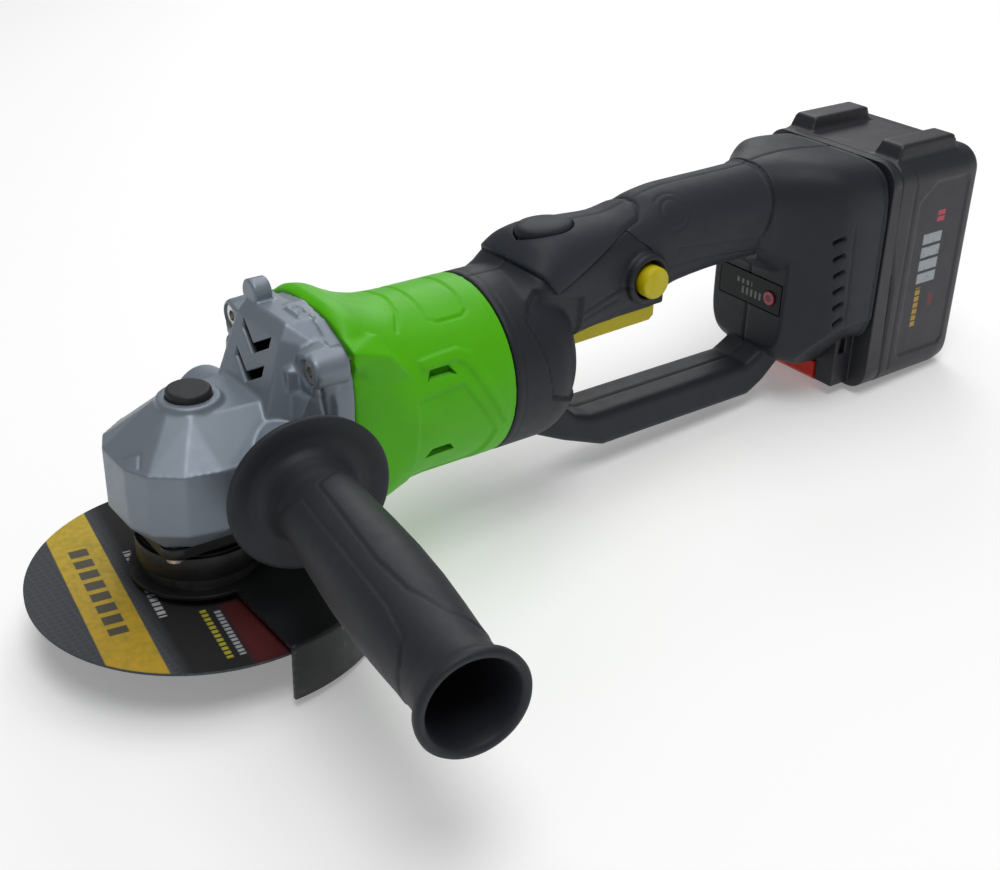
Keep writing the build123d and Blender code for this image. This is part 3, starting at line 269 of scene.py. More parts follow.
def cast_paint(name, colour, roughness=0.42):
    """Satin paint over a casting: orange-peel, faint cloudy tone, thin bright wear on corners."""
    s = Surface(name, roughness, metallic=0.35)
    s.soften(0.5 * MM)
    cloud = s.ramp(s.noise(18 * MM, 3), 0.3, 0.7)
    base = s.mix(s.times(cloud, 0.5), colour, [c * 0.86 for c in colour])
    chips = s.ramp(s.noise(1.6 * MM, 6, 0.75), 0.5, 0.72)
    shade = s.mix(s.times(s.times(s.edge(), chips), 0.6), base, (0.62, 0.64, 0.66))
    s.bump(s.noise(0.55 * MM, 3, 0.6), 0.03 * MM, 0.5)
    rough = s.math("ADD", s.times(s.noise(4 * MM, 5), 0.2), roughness - 0.1)
    return s.finish(shade, rough)


def laminated(name, colour, pitch=0.5):
    """Stacked sheet: thin layers along the motor axis."""
    s = Surface(name, 0.45, metallic=0.9)
    along, _, _ = s.separate()
    layer = s.math("SINE", s.times(along, 2 * math.pi / (pitch * MM)))
    share = s.ramp(layer, -0.2, 0.9)
    s.bump(layer, 0.05 * MM, 0.6)
    return s.finish(s.mix(share, [c * 0.55 for c in colour], colour))


def wound(name, colour, pitch=0.7):
    """Enamelled wire: round turns across the tooth."""
    s = Surface(name, 0.28, metallic=0.7)
    _, across, up = s.separate()
    turns = s.math("SINE", s.times(s.math("ADD", across, up), 2 * math.pi / (pitch * MM)))
    s.bump(turns, 0.12 * MM, 0.8)
    # the colour falls to a third of the copper in the hollows between turns: painted shade
    return s.finish(s.mix(s.ramp(turns, -1, 0.4), [c * 0.35 for c in colour], colour))


def board(name, colour):
    """Printed board: solder mask with faint tracks."""
    s = Surface(name, 0.35)
    tracks = s.ramp(s.noise(2.0 * MM, 1, 0.2, (1, 6, 1)), 0.48, 0.52)
    s.bump(tracks, 0.03 * MM, 0.5)
    return s.finish(s.mix(tracks, colour, [min(1, c * 1.7 + 0.02) for c in colour]))


def masked(s, along, low, high, blur=0.25):
    """1 where a coordinate lies between low and high millimetres, with a printed edge."""
    first = s.ramp(along, (low - blur) * MM, (low + blur) * MM)
    last = s.ramp(along, (high + blur) * MM, (high - blur) * MM)
    return s.times(first, last)


def printed_disc(name):
    """Resin-bonded grit with a glass-fibre net, and a yellow band and plain strokes printed on one face."""
    s = Surface(name, 0.72)
    x, y, z = s.separate()
    lean = math.radians(8)
    off = s.math("ADD", s.times(x, -math.cos(lean)), s.times(y, math.sin(lean)))
    run = s.math("ADD", s.times(x, math.sin(lean)), s.times(y, math.cos(lean)))
    grit = s.noise(0.5 * MM, 4, 0.75)
    pitch = 2 * math.pi / (2.6 * MM)
    threads = [s.math("SINE", s.times(way, pitch)) for way in (x, y)]
    net = s.math("MAXIMUM", *threads)
    shade = s.mix(s.ramp(grit, 0.3, 0.7), (0.030, 0.034, 0.040), (0.060, 0.066, 0.076))
    shade = s.mix(s.times(s.ramp(net, 0.7, 1.0), 0.35), shade, (0.09, 0.095, 0.1))
    face = s.ramp(z, 12.3 * MM, 12.5 * MM)
    band = s.times(masked(s, off, 29.2, 46.6), face)
    inner = s.times(masked(s, off, -70, 25.5, 3.0), face)
    shade = s.mix(inner, shade, (0.006, 0.006, 0.007))
    red_zone = s.times(masked(s, off, -12, 2.5, 1.5), masked(s, run, -64, -24, 4))
    shade = s.mix(s.times(red_zone, face), shade, (0.07, 0.002, 0.003))
    worn = s.ramp(s.noise(3 * MM, 5, 0.7), 0.25, 0.6)
    yellow = s.mix(s.ramp(run, -45 * MM, 45 * MM), (0.50, 0.30, 0.01), (0.52, 0.36, 0.02))
    yellow = s.mix(worn, (0.30, 0.24, 0.02), yellow)
    shade = s.mix(band, shade, yellow)
    strokes = (
        (37.9, 3.4, 7.6, -27, 33, (0.07, 0.06, 0.04)),
        (22.0, 1.4, 2.9, -24, 22, (0.42, 0.43, 0.45)),
        (9.0, 1.1, 2.6, -56, -26, (0.36, 0.33, 0.02)),
        (4.6, 1.1, 2.2, -56, -28, (0.32, 0.33, 0.35)))
    for middle, half, step, start, end, ink in strokes:
        dashes = s.math("FRACT", s.math("DIVIDE", run, step * MM))
        on = s.ramp(dashes, 0.30, 0.36)
        row = s.times(masked(s, off, middle - half, middle + half), masked(s, run, start, end))
        shade = s.mix(s.times(s.times(row, on), face), shade, ink)
    s.bump(grit, 0.08 * MM, 0.7)
    s.bump(net, 0.04 * MM, 0.3)
    return s.finish(shade, s.math("SUBTRACT", 0.85, s.times(band, 0.3)))


def labelled_battery(name):
    """Battery plastic with a generic label of plain bars printed on both sides."""
    s = Surface(name, 0.48)
    s.soften(0.4 * MM)
    x, y, z = s.separate()
    blotch = s.ramp(s.noise(14 * MM, 3), 0.3, 0.7)
    shade = s.mix(s.times(blotch, 0.35), (0.0155, 0.0165, 0.0225), (0.011, 0.012, 0.016))
    on_side = s.ramp(s.math("ABSOLUTE", y), 36.0 * MM, 36.2 * MM)
    wear = s.ramp(s.noise(1.5 * MM, 5, 0.7), 0.2, 0.45)
    bars = (
        (338.0, 350.5, 59, 84, 6.3, (0.33, 0.36, 0.39)),
        (338.6, 341.8, 38, 57, 3.1, (0.42, 0.25, 0.01)),
        (348.8, 351.6, 46, 53, 9.0, (0.13, 0.004, 0.02)),
        (345.5, 350.5, 87.5, 93, 3.0, (0.45, 0.04, 0.08)))
    for left, right, low, high, step, ink in bars:
        dashes = s.math("FRACT", s.math("DIVIDE", s.math("SUBTRACT", z, low * MM), step * MM))
        on = s.ramp(dashes, 0.80, 0.74)
        box = s.times(masked(s, x, left, right), masked(s, z, low, high))
        cover = s.times(s.times(box, on), s.times(on_side, wear))
        shade = s.mix(cover, shade, ink)
    s.bump(s.noise(0.35 * MM, 2, 0.6), 0.03 * MM, 0.6)
    rough = s.math("ADD", s.times(s.noise(5 * MM, 5), 0.16), 0.4)
    return s.finish(shade, rough)


def lit_panel(name):
    """Glossy indicator strip with two rows of small pale lamps."""
    s = Surface(name, 0.42, specular=0.2)
    s.soften(0.2 * MM)
    _, y, z = s.separate()
    haze = s.ramp(s.noise(6 * MM, 4), 0.3, 0.7)
    shade = s.mix(haze, (0.007, 0.008, 0.009), (0.012, 0.013, 0.015))
    for low, high, start, end, step in ((61.4, 63.6, -2, 8.5, 2.9), (56.8, 60.2, -8.5, 4.5, 2.6)):
        dashes = s.math("FRACT", s.math("DIVIDE", y, step * MM))
        on = s.ramp(dashes, 0.55, 0.45)
        row = s.times(masked(s, z, low, high), masked(s, y, start, end))
        shade = s.mix(s.times(row, on), shade, (0.16, 0.18, 0.18))
    s.bump(s.noise(0.3 * MM, 2), 0.01 * MM, 0.4)
    return s.finish(shade, s.math("ADD", s.times(haze, 0.12), 0.36))


def ringed_button(name):
    """Soft red button with a paler worn ring round its rim."""
    s = Surface(name, 0.35)
    s.soften(0.2 * MM)
    _, y, z = s.separate()
    across = s.math("SUBTRACT", y, PANEL_BUTTON_Y * MM)
    up = s.math("SUBTRACT", z, PANEL_BUTTON_Z * MM)
    reach = s.math("SQRT", s.math("ADD", s.times(across, across), s.times(up, up)))
    shade = s.mix(masked(s, reach, 1.7, 2.8), (0.10, 0.004, 0.015), (0.45, 0.03, 0.07))
    grime = s.times(s.ramp(s.noise(1.2 * MM, 4), 0.4, 0.7), 0.3)
    shade = s.mix(grime, shade, (0.05, 0.004, 0.008))
    s.bump(s.noise(0.3 * MM, 2), 0.01 * MM, 0.4)
    return s.finish(shade)


# slot: the function that makes its material, and what that function is given after the name
PALETTE = {
    "head_metal": (cast_paint, (0.205, 0.240, 0.285)),
    "black_metal": (cast_paint, (0.012, 0.012, 0.014), 0.4),
    "screw_steel": (machined, (0.62, 0.61, 0.59), 0.28),
    "black_plastic": (moulded, (0.022, 0.023, 0.026), (0.07, 0.07, 0.075), 0.5),
    "spring_steel": (machined, (0.5, 0.5, 0.5), 0.3),
    "steel": (machined, (0.55, 0.55, 0.56), 0.3),
    "rubber": (moulded, (0.02, 0.02, 0.021), (0.05, 0.05, 0.05), 0.75),
    "gear_steel": (machined, (0.4, 0.4, 0.42), 0.38),
    "abrasive": (printed_disc,),
    "guard_steel": (cast_paint, (0.016, 0.017, 0.019), 0.42),
    "green_plastic": (moulded, (0.085, 0.47, 0.0), (0.2, 0.6, 0.04), 0.45, 0.35, 0.03, 0.25),
    "lamination": (laminated, (0.3, 0.3, 0.31)),
    "copper": (wound, (0.72, 0.33, 0.13)),
    "magnet": (machined, (0.62, 0.62, 0.64), 0.2),
    "fan_plastic": (moulded, (0.04, 0.04, 0.045), (0.1, 0.1, 0.1), 0.45),
    "shell_plastic": (moulded, (0.0145, 0.0168, 0.0235), (0.04, 0.044, 0.052), 0.52),
    "soft_grip": (moulded, (0.0205, 0.0240, 0.033), (0.05, 0.054, 0.062), 0.6, 0.5, 0.05),
    "yellow_plastic": (moulded, (0.56, 0.47, 0.0), (0.7, 0.62, 0.1), 0.45),
    "panel_plastic": (lit_panel,),
    "panel_button": (ringed_button,),
    "circuit_board": (board, (0.01, 0.11, 0.05)),
    "battery_plastic": (labelled_battery,),
    "cell_wrap": (moulded, (0.03, 0.16, 0.45), (0.2, 0.35, 0.6), 0.3, 0.6, 0.02),
    "red_plastic": (moulded, (0.62, 0.02, 0.004), (0.8, 0.2, 0.1), 0.42),
    "handle_rubber": (moulded, (0.020, 0.0215, 0.028), (0.05, 0.052, 0.06), 0.55, 0.5, 0.04),
}


def paint_nodes():
    """Every CAD node gets the material of its slot in the record."""
    made = {}
    for part in frame["record"]["subparts"]:
        slot = part["material_slot"]
        if slot not in made:
            maker, *values = PALETTE[slot]
            made[slot] = maker(slot, *values)
        mesh = NODES[part["node"]].data
        mesh.materials.clear()
        mesh.materials.append(made[slot])
    return made


MATERIALS = paint_nodes()


# ---- mesh tools
def make_object(name, points, faces, smooth=True):
    """A mesh object from points in millimetres."""
    mesh = bpy.data.meshes.new(name)
    mesh.from_pydata([tuple(c * MM for c in p) for p in points], [], faces)
    work = bmesh.new()
    work.from_mesh(mesh)
    bmesh.ops.recalc_face_normals(work, faces=work.faces)
    work.to_mesh(mesh)
    work.free()
    if smooth:
        mesh.shade_smooth()
    return add_object(name, mesh)


def object_from(work, name):
    """Turn an edited mesh into an object."""
    mesh = bpy.data.meshes.new(name)
    work.to_mesh(mesh)
    work.free()
    return add_object(name, mesh)


def bake(piece):
    """Apply every modifier of a piece to its mesh."""
    bpy.context.view_layer.update()
    done = piece.evaluated_get(bpy.context.evaluated_depsgraph_get())
    mesh = bpy.data.meshes.new_from_object(done)
    piece.modifiers.clear()
    old = piece.data
    piece.data = mesh
    bpy.data.meshes.remove(old)
    return piece


def join(name, pieces):
    """Several pieces as one mesh, each still closed in itself."""
    work = bmesh.new()
    for piece in pieces:
        piece.data.transform(piece.matrix_world)
        work.from_mesh(piece.data)
        bpy.data.objects.remove(piece)
    return object_from(work, name)


def prism(outline, low, high, axis="y"):
    """A closed outline in the other two coordinates, pulled along an axis from low to high."""
    order = {"x": (2, 0, 1), "y": (0, 2, 1), "z": (0, 1, 2)}[axis]
    count = len(outline)
    points = [tuple((*place, level)[k] for k in order) for level in (low, high) for place in outline]
    faces = [tuple(range(count)), tuple(range(2 * count - 1, count - 1, -1))]
    faces += [(i, (i + 1) % count, count + (i + 1) % count, count + i) for i in range(count)]
    return make_object("prism", points, faces, smooth=False)


def loft(rings):
    """Rings of equally many points joined into one skin, closed at both ends."""
    count = len(rings[0])
    points = [tuple(p) for one in rings for p in one]
    faces = []
    for i in range(len(rings) - 1):
        for j in range(count):
            k = (j + 1) % count
            faces.append((i * count + j, i * count + k, (i + 1) * count + k, (i + 1) * count + j))
    faces.append(tuple(range(count)))
    faces.append(tuple(range(len(points) - 1, len(points) - 1 - count, -1)))
    return make_object("loft", points, faces)


def both_sides(places):
    """Places and their mirror images across the middle plane."""
    return [(x, side * y, z) for x, y, z in places for side in (-1, 1)]


def at_level(outline, z):
    """An outline of (x, y) and its mirror image, at one height."""
    return both_sides([(x, y, z) for x, y in outline])


def hull(points):
    """The smallest convex solid round some points: a facetted block."""
    work = bmesh.new()
    for p in points:
        work.verts.new([c * MM for c in p])
    made = bmesh.ops.convex_hull(work, input=work.verts)
    spare = {v for v in made["geom_interior"] + made["geom_unused"] if isinstance(v, bmesh.types.BMVert)}
    bmesh.ops.delete(work, geom=list(spare), context="VERTS")
    return object_from(work, "hull")


def turned(profile, origin, axis, count):
    """A profile of (distance along the axis, radius) turned round an axis, from the axis back to the axis."""
    axis = Vector(axis).normalized()
    side = axis.orthogonal().normalized() if abs(axis.z) > 0.9 else Vector((0, 0, 1))
    other = axis.cross(side).normalized()
    rings = []
    for along, radius in profile:
        one = []
        for j in range(count):
            turn = 2 * math.pi * j / count
            place = Vector(origin) + axis * along
            place += (side * math.cos(turn) + other * math.sin(turn)) * max(radius, 0.001)
            one.append(tuple(place))
        rings.append(one)
    return loft(rings)


def smooth_between(stations, step):
    """Rows of numbers between the stations, on curves that never overshoot; the first number is the place."""
    rows = np.array(stations, float)
    place = rows[:, 0]
    gap = np.diff(place)
    slope = np.diff(rows, axis=0) / gap[:, None]
    tangent = np.zeros_like(rows)
    tangent[0], tangent[-1] = slope[0], slope[-1]
    for i in range(1, len(rows) - 1):
        same = slope[i - 1] * slope[i] > 0
        safe = np.where(same, slope[i - 1] + slope[i], 1.0)
        tangent[i] = np.where(same, 2 * slope[i - 1] * slope[i] / safe, 0)
    made = []
    for x in np.arange(place[0], place[-1] + step / 2, step):
        i = int(np.clip(np.searchsorted(place, x, side="right") - 1, 0, len(gap) - 1))
        t = min(max((x - place[i]) / gap[i], 0), 1)
        made.append((2 * t**3 - 3 * t**2 + 1) * rows[i] + (t**3 - 2 * t**2 + t) * gap[i] * tangent[i]
                    + (3 * t**2 - 2 * t**3) * rows[i + 1] + (t**3 - t**2) * gap[i] * tangent[i + 1])
    return made


def rounded_section(x, half, low, high, power_low, power_high):
    """A section square to X: rounder for powers near 2 and boxier above."""
    ring = []
    middle, rise = (low + high) / 2, (high - low) / 2
    count = 120
    for j in range(count):
        turn = 2 * math.pi * j / count
        c, s = math.cos(turn), math.sin(turn)
        power = power_high if s > 0 else power_low
        y = half * math.copysign(abs(c) ** (2 / power), c)
        z = middle + rise * math.copysign(abs(s) ** (2 / power), s)
        ring.append((x, y, z))
    return ring


def relax(piece, rounds):
    ease = piece.modifiers.new("ease", "SMOOTH")
    ease.factor = 0.5
    ease.iterations = rounds


def remould(piece, voxel, rounds):
    """Melt overlapping closed solids into one skin with softened edges."""
    melt = piece.modifiers.new("melt", "REMESH")
    melt.mode = "VOXEL"
    melt.voxel_size = voxel * MM
    relax(piece, rounds)
    return bake(piece)


def cut(piece, cutters):
    """Take the cutters out of a piece."""
    tool = join("cutter", cutters)
    carve = piece.modifiers.new("carve", "BOOLEAN")
    carve.operation = "DIFFERENCE"
    carve.solver = "EXACT"
    carve.object = tool
    bake(piece)
    bpy.data.objects.remove(tool)
    return piece


def halves(piece, names):
    """Cut a piece along the middle plane y = 0 into closed halves: the -Y one first."""
    made = []
    for name, sign in zip(names, (-1, 1)):
        work = bmesh.new()
        work.from_mesh(piece.data)
        found = bmesh.ops.bisect_plane(
            work, geom=work.verts[:] + work.edges[:] + work.faces[:], plane_co=(0, sign * 0.05 * MM, 0),
            plane_no=(0, -sign, 0), clear_outer=True)
        rim = [e for e in found["geom_cut"] if isinstance(e, bmesh.types.BMEdge)]
        bmesh.ops.triangle_fill(work, use_beauty=True, edges=rim)
        made.append(object_from(work, name))
    bpy.data.objects.remove(piece)
    return made


def points_of(piece):
    """Vertex places and normals of a piece, in millimetres."""
    count = len(piece.data.vertices)
    place, normal = np.zeros(count * 3, np.float32), np.zeros(count * 3, np.float32)
    piece.data.vertices.foreach_get("co", place)
    piece.data.vertex_normals.foreach_get("vector", normal)
    return place.reshape(-1, 3) / MM, normal.reshape(-1, 3)


def move_points(piece, place):
    piece.data.vertices.foreach_set("co", (place * MM).astype(np.float32).ravel())
    piece.data.update()


def line_distance(flat, line, closed=False):
    """Distance of flat places from a broken line."""
    corners = np.array(line, float)
    ends = np.vstack([corners[1:], corners[:1]]) if closed else corners[1:]
    best = np.full(len(flat), 1e9)
    for a, b in zip(corners, ends):
        run = b - a
        share = np.clip(((flat - a) @ run) / (run @ run), 0, 1)
        best = np.minimum(best, np.linalg.norm(flat - a - share[:, None] * run, axis=1))
    return best


def inside(flat, outline):
    """Which flat places lie inside a closed outline."""
    found = np.zeros(len(flat), bool)
    corners = np.array(outline, float)
    for a, b in zip(corners, np.roll(corners, -1, axis=0)):
        crosses = (a[1] > flat[:, 1]) != (b[1] > flat[:, 1])
        rise = b[1] - a[1] if b[1] != a[1] else 1e-9
        found ^= crosses & (flat[:, 0] < (b[0] - a[0]) * (flat[:, 1] - a[1]) / rise + a[0])
    return found


def groove(flat, line, width, depth, closed=False):
    """Depth field of a round-bottomed groove along a line."""
    share = np.clip(1 - (line_distance(flat, line, closed) / (width / 2)) ** 2, 0, 1)
    return -depth * share


def ring_groove(place, x, width, depth):
    """Depth field of a round-bottomed groove round the body at one x."""
    return -depth * np.clip(1 - ((place[:, 0] - x) / (width / 2)) ** 2, 0, 1)


def panel(flat, outline, height, edge):
    """Height field of a raised (or sunk) panel with sloped edges."""
    away = line_distance(flat, outline, closed=True) * np.where(inside(flat, outline), 1, -1)
    share = np.clip(away / edge + 0.5, 0, 1)
    return height * share * share * (3 - 2 * share)


def arc(centre, radius, start, end, count):
    """Places on an arc, angles in degrees."""
    return [(centre[0] + radius * math.cos(math.radians(start + (end - start) * i / count)),
             centre[1] + radius * math.sin(math.radians(start + (end - start) * i / count)))
            for i in range(count + 1)]


def slot_outline(centre, length, width, angle, count=5):
    """A slot with round ends at an angle in degrees; length is overall."""
    reach = length / 2 - width / 2
    turn = math.radians(angle)
    shape = [(reach + x, y) for x, y in arc((0, 0), width / 2, -90, 90, count)]
    shape += [(x - reach, y) for x, y in arc((0, 0), width / 2, 90, 270, count)]
    return [(centre[0] + x * math.cos(turn) - y * math.sin(turn),
             centre[1] + x * math.sin(turn) + y * math.cos(turn)) for x, y in shape]


def oval(centre, half_length, half_width, count=64):
    """Places round an ellipse along X."""
    return [(centre[0] + half_length * math.cos(t), centre[1] + half_width * math.sin(t))
            for t in np.linspace(0, 2 * math.pi, count, endpoint=False)]


def dress(piece, name, slot, body, nodes):
    """Name a finished piece, paint it, ride it on its body and let it stand for its CAD nodes."""
    piece.name = name
    piece.data.name = name
    piece.data.materials.clear()
    piece.data.materials.append(MATERIALS[slot])
    piece.data.shade_smooth()
    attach(piece, body)
    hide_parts(*nodes)


# ---- rear body
WELL_LEVELS = (105.2, 140)     # floor of the oval well and a height above everything
COVER_FRONT = [(131, 108), (132, 103.8), (136.2, 100.6), (140.5, 94.2)]


def rear_solids():
    """Collar, grip, hood, foot, guard bar, trigger housing and lock-off boss, all overlapping."""
    collar = turned(
        [(SEAM_X, 0), (SEAM_X, 35.2), (SEAM_X + 0.8, 35.6), (134, 35.6)]
        + [(134 + 21.5 * math.sin(t), 10 + 25.6 * math.cos(t)) for t in np.linspace(0.1, 1.5, 14)]
        + [(155.6, 0)],
        (0, 0, MOTOR_Z), (1, 0, 0), 96)
    grip = loft([rounded_section(*row) for row in smooth_between((
        (116, 25, 58, 97.5, 3.5, 2.6),
        (126, 24.8, 61, 98.6, 3.5, 2.6),
        (131, 24.4, 62, 101.2, 3.5, 2.7),
        (136, 23.6, 63, 106.4, 3.6, 2.7),
        (141, 22.6, 65, 110.2, 3.7, 2.7),
        (150, 21.0, 68, 112.0, 3.8, 2.7),
        (164, 18.9, 70, 111.6, 4.0, 2.7),
        (178, 17.5, 71, 111.2, 4.2, 2.6),
        (190, 16.8, 73, 113.2, 3.8, 2.5),
        (200, 16.5, 75, 116.6, 3.4, 2.4),
        (214, 16.4, 78, 118.2, 2.9, 2.4),
        (240, 16.6, 79.6, 118.4, 2.7, 2.4),
        (285, 17.5, 79.6, 119.4, 2.7, 2.4)), 1.5)])
    hood = loft([rounded_section(*row) for row in smooth_between((
        (258.5, 17.6, 79, 119.6, 2.8, 2.4),
        (263, 19.2, 76, 120.6, 3.0, 2.6),
        (270, 23.5, 70, 121.2, 3.4, 3.0),
        (278, 30.0, 60, 121.4, 4.2, 3.8),
        (287, 35.5, 46, 121.0, 5.5, 4.6),
        (298, 36.7, 40, 119.9, 6.5, 5.2),
        (FOOT_END_X, 36.9, 36, 118.5, 7, 5.5)), 1.2)])
    foot = loft([rounded_section(*row) for row in smooth_between((
        (269, 21.5, 36, 100, 5.5, 6),
        (271, 23, 33, 102, 5.5, 6),
        (277, 28, 28.5, 104, 5, 6),
        (287, 35.2, 25.8, 106, 6, 6),
        (298, 36.6, 24.8, 108, 7, 6),
        (FOOT_END_X, 36.9, 24.5, 108, 7, 6)), 1.2)])
    chamfer = [(60, 4), (18, 24.0), (36.4, 48.5), (60, 60)]
    foot = cut(foot, [prism([(side * y, z) for y, z in chamfer], 262, 330, "x") for side in (-1, 1)])
    bar_under = [(126, 38), (136, 31.5), (158, 21), (179, 12.8), (264, 13.0), (273, 18), (283, 27)]
    bar_upper = [(284, 46), (270, 34), (261, 29.2), (172, 29.0), (164, 31.5), (151, 44), (138, 50)]
    bar = prism(bar_under + bar_upper, -12, 12)
    ease = bar.modifiers.new("ease", "BEVEL")
    ease.width = 3.2 * MM
    ease.segments = 3
    bake(bar)
    trigger_box = prism([(150, 69.2), (156, 69.6), (207, 71.5), (207, 82), (150, 82)], -11, 11)
    boss = turned([(0, 0), (0, 10.6), (5.2, 10.4), (6.0, 9.6), (6.0, 0)],
                  (LOCK_OFF_X, -15, LOCK_OFF_Z), (0, -1, 0), 64)
    return [collar, grip, hood, foot, bar, trigger_box, boss]


def engrave_rear(body):
    """Raised cover, panel lines, collar recess and closing seams of the rear body."""
    place, normal = points_of(body)
    side = place[:, [0, 2]]
    across = np.abs(place[:, 1])
    field = np.zeros(len(place))
    # raised cover on the hump, from its pointed front edge back to the arcs
    cover = COVER_FRONT + [(181, 108), (190, 110.6), (197, 118), (197, 125), (131, 125)]
    on_grip = (place[:, 0] < 262) & (place[:, 2] > 60)
    field += np.where(on_grip, panel(side, cover, 0.9, 0.9), 0)
    field += np.where(on_grip, groove(side, cover[:7], 1.5, 0.7), 0)
    # lines of the side: lower panel, soft grip border and its echo
    field += np.where(on_grip, groove(side, [(157, 82), (172, 85.5), (180, 87.5)], 1.4, 0.6), 0)
    field += np.where(on_grip, groove(side, [(157, 78.5), (176, 82.6)], 1.4, 0.5), 0)
    field += np.where(on_grip, groove(side, [(201, 90), (216, 90), (258, 85)], 1.3, 0.5), 0)
    # recess in the side of the collar
    recess = [(124.6, 89.5), (128.5, 74), (131, 59), (145, 53), (158, 53), (158, 88), (132, 97)]
    in_recess = (across > 14) & (place[:, 0] < 156)
    field += np.where(in_recess, panel(side, recess, -1.3, 1.0) + groove(side, recess[:5], 1.3, 0.8), 0)
    # step round the front of the collar and the closing seam at the battery
    field += ring_groove(place, 117.2, 0.9, 0.25)
    foot_zone = place[:, 0] > 275
    field += np.where(foot_zone, ring_groove(place, 308.2, 1.3, 0.7), 0)
    field += np.where(foot_zone & (across > 30), groove(side, [(291, 96), (293.5, 44)], 1.1, 0.45), 0)
    # end of the soft grip, a dark arc round the neck
    neck = [(259.8, 124), (259.3, 106), (258, 98), (255.6, 91), (256.6, 84), (261, 76)]
    field += np.where(place[:, 2] > 74, groove(side, neck, 1.5, 1.0), 0)
    # middle seam where the halves meet
    field -= 0.5 * np.clip(1 - (across / 0.8) ** 2, 0, 1)
    move_points(body, place + normal * field[:, None])


def rear_body():
    """The two black shells, melted from simple solids, then engraved and cut open where other pieces sit."""
    body = remould(join("rear_body", rear_solids()), 0.75, 6)
    engrave_rear(body)
    well = oval((CAP_X, 0), 13.0, 9.8)
    grip_cover(body, prism(well, *WELL_LEVELS, "z"))
    openings = [
        prism(well, *WELL_LEVELS, "z"),
        turned([(-4, 0), (-4, 8.15), (30, 8.15), (30, 0)], (LOCK_OFF_X, -8, LOCK_OFF_Z), (0, -1, 0), 48),
        prism([(159.0, 59), (206.2, 59), (206.2, 74.5), (159.0, 76.5)], -8, 8),
        prism([(-19.8, 53.2), (17.8, 53.2), (17.8, 67.8), (-19.8, 67.8)], 262, 270.3, "x"),
        turned([(0, 0), (0, 3.5), (10, 3.5), (10, 0)], (266, PANEL_BUTTON_Y, PANEL_BUTTON_Z), (1, 0, 0), 32),
        prism([(299.7, 10), (313, 10), (313, 110.5), (299.7, 110.5)], -28.3, 28.3),
    ]
    for k in range(6):
        slot = slot_outline((284.6 + 0.9 * k, 90 - 7.6 * k), 6.2, 2.9, 30)
        openings += [prism(slot, side * 31, side * 60) for side in (-1, 1)]
    cut(body, openings)
    near, far = halves(body, ("rear_shell_near", "rear_shell_far"))
    dress(near, "rear_shell_near", "shell_plastic", "root", ["handle_shell_left"])
    dress(far, "rear_shell_far", "shell_plastic", "root", ["handle_shell_right"])


def grip_cover(body, well):
    """Soft cover of the hump and grip: the body's own skin, raised a little, inside the cover's outline."""
    outline = COVER_FRONT + [(183, 108), (197, 95.8), (208, 97.3), (255.2, 92.2), (257.8, 98), (259.2, 106),
                             (259.6, 126), (131, 126)]
    cover = add_object("grip_cover", body.data.copy())
    place, normal = points_of(cover)
    side = place[:, [0, 2]]
    field = panel(side, outline, 0.55, 1.6)
    reach = np.linalg.norm(place - np.array([206, -14, 113]), axis=1)
    for radius in (5.5, 8.5):
        away = np.abs(reach - radius)
        field -= np.where(place[:, 0] > 200, 0.35 * np.clip(1 - (away / 0.8) ** 2, 0, 1), 0)
    move_points(cover, place + normal * field[:, None])
    keep = prism(outline, -40, 40)
    trim = cover.modifiers.new("trim", "BOOLEAN")
    trim.operation = "INTERSECT"
    trim.solver = "EXACT"
    trim.object = keep
    bake(cover)
    bpy.data.objects.remove(keep)
    cut(cover, [well])
    dress(cover, "grip_cover", "soft_grip", "root", ["grip_overmould"])


# ---- gear housing
def head_blocks():
    """Head, crown and the lock button's collar."""
    wall = [(-29, 9), (-25, 18), (-15, 25.6), (-2, 28.4), (32, 28.8)]
    foot = [(-21.5, 9), (-20.5, 17), (-13, 21.5), (-2, 21.8), (32, 22)]
    crown = [(-11.5, 6), (-5, 11.5), (8, 12.5), (24, 13.5)]
    return [
        hull(at_level(foot, 37) + at_level(wall, 43.5) + at_level(wall, 66.5)),
        hull(at_level(wall, 66) + at_level(crown, 79.8)),
        turned([(76, 0), (76, 12.6), (79.6, 11.9), (82.2, 10.9), (82.2, 0)], (0, 0, 0), (0, 0, 1), 72),
    ]


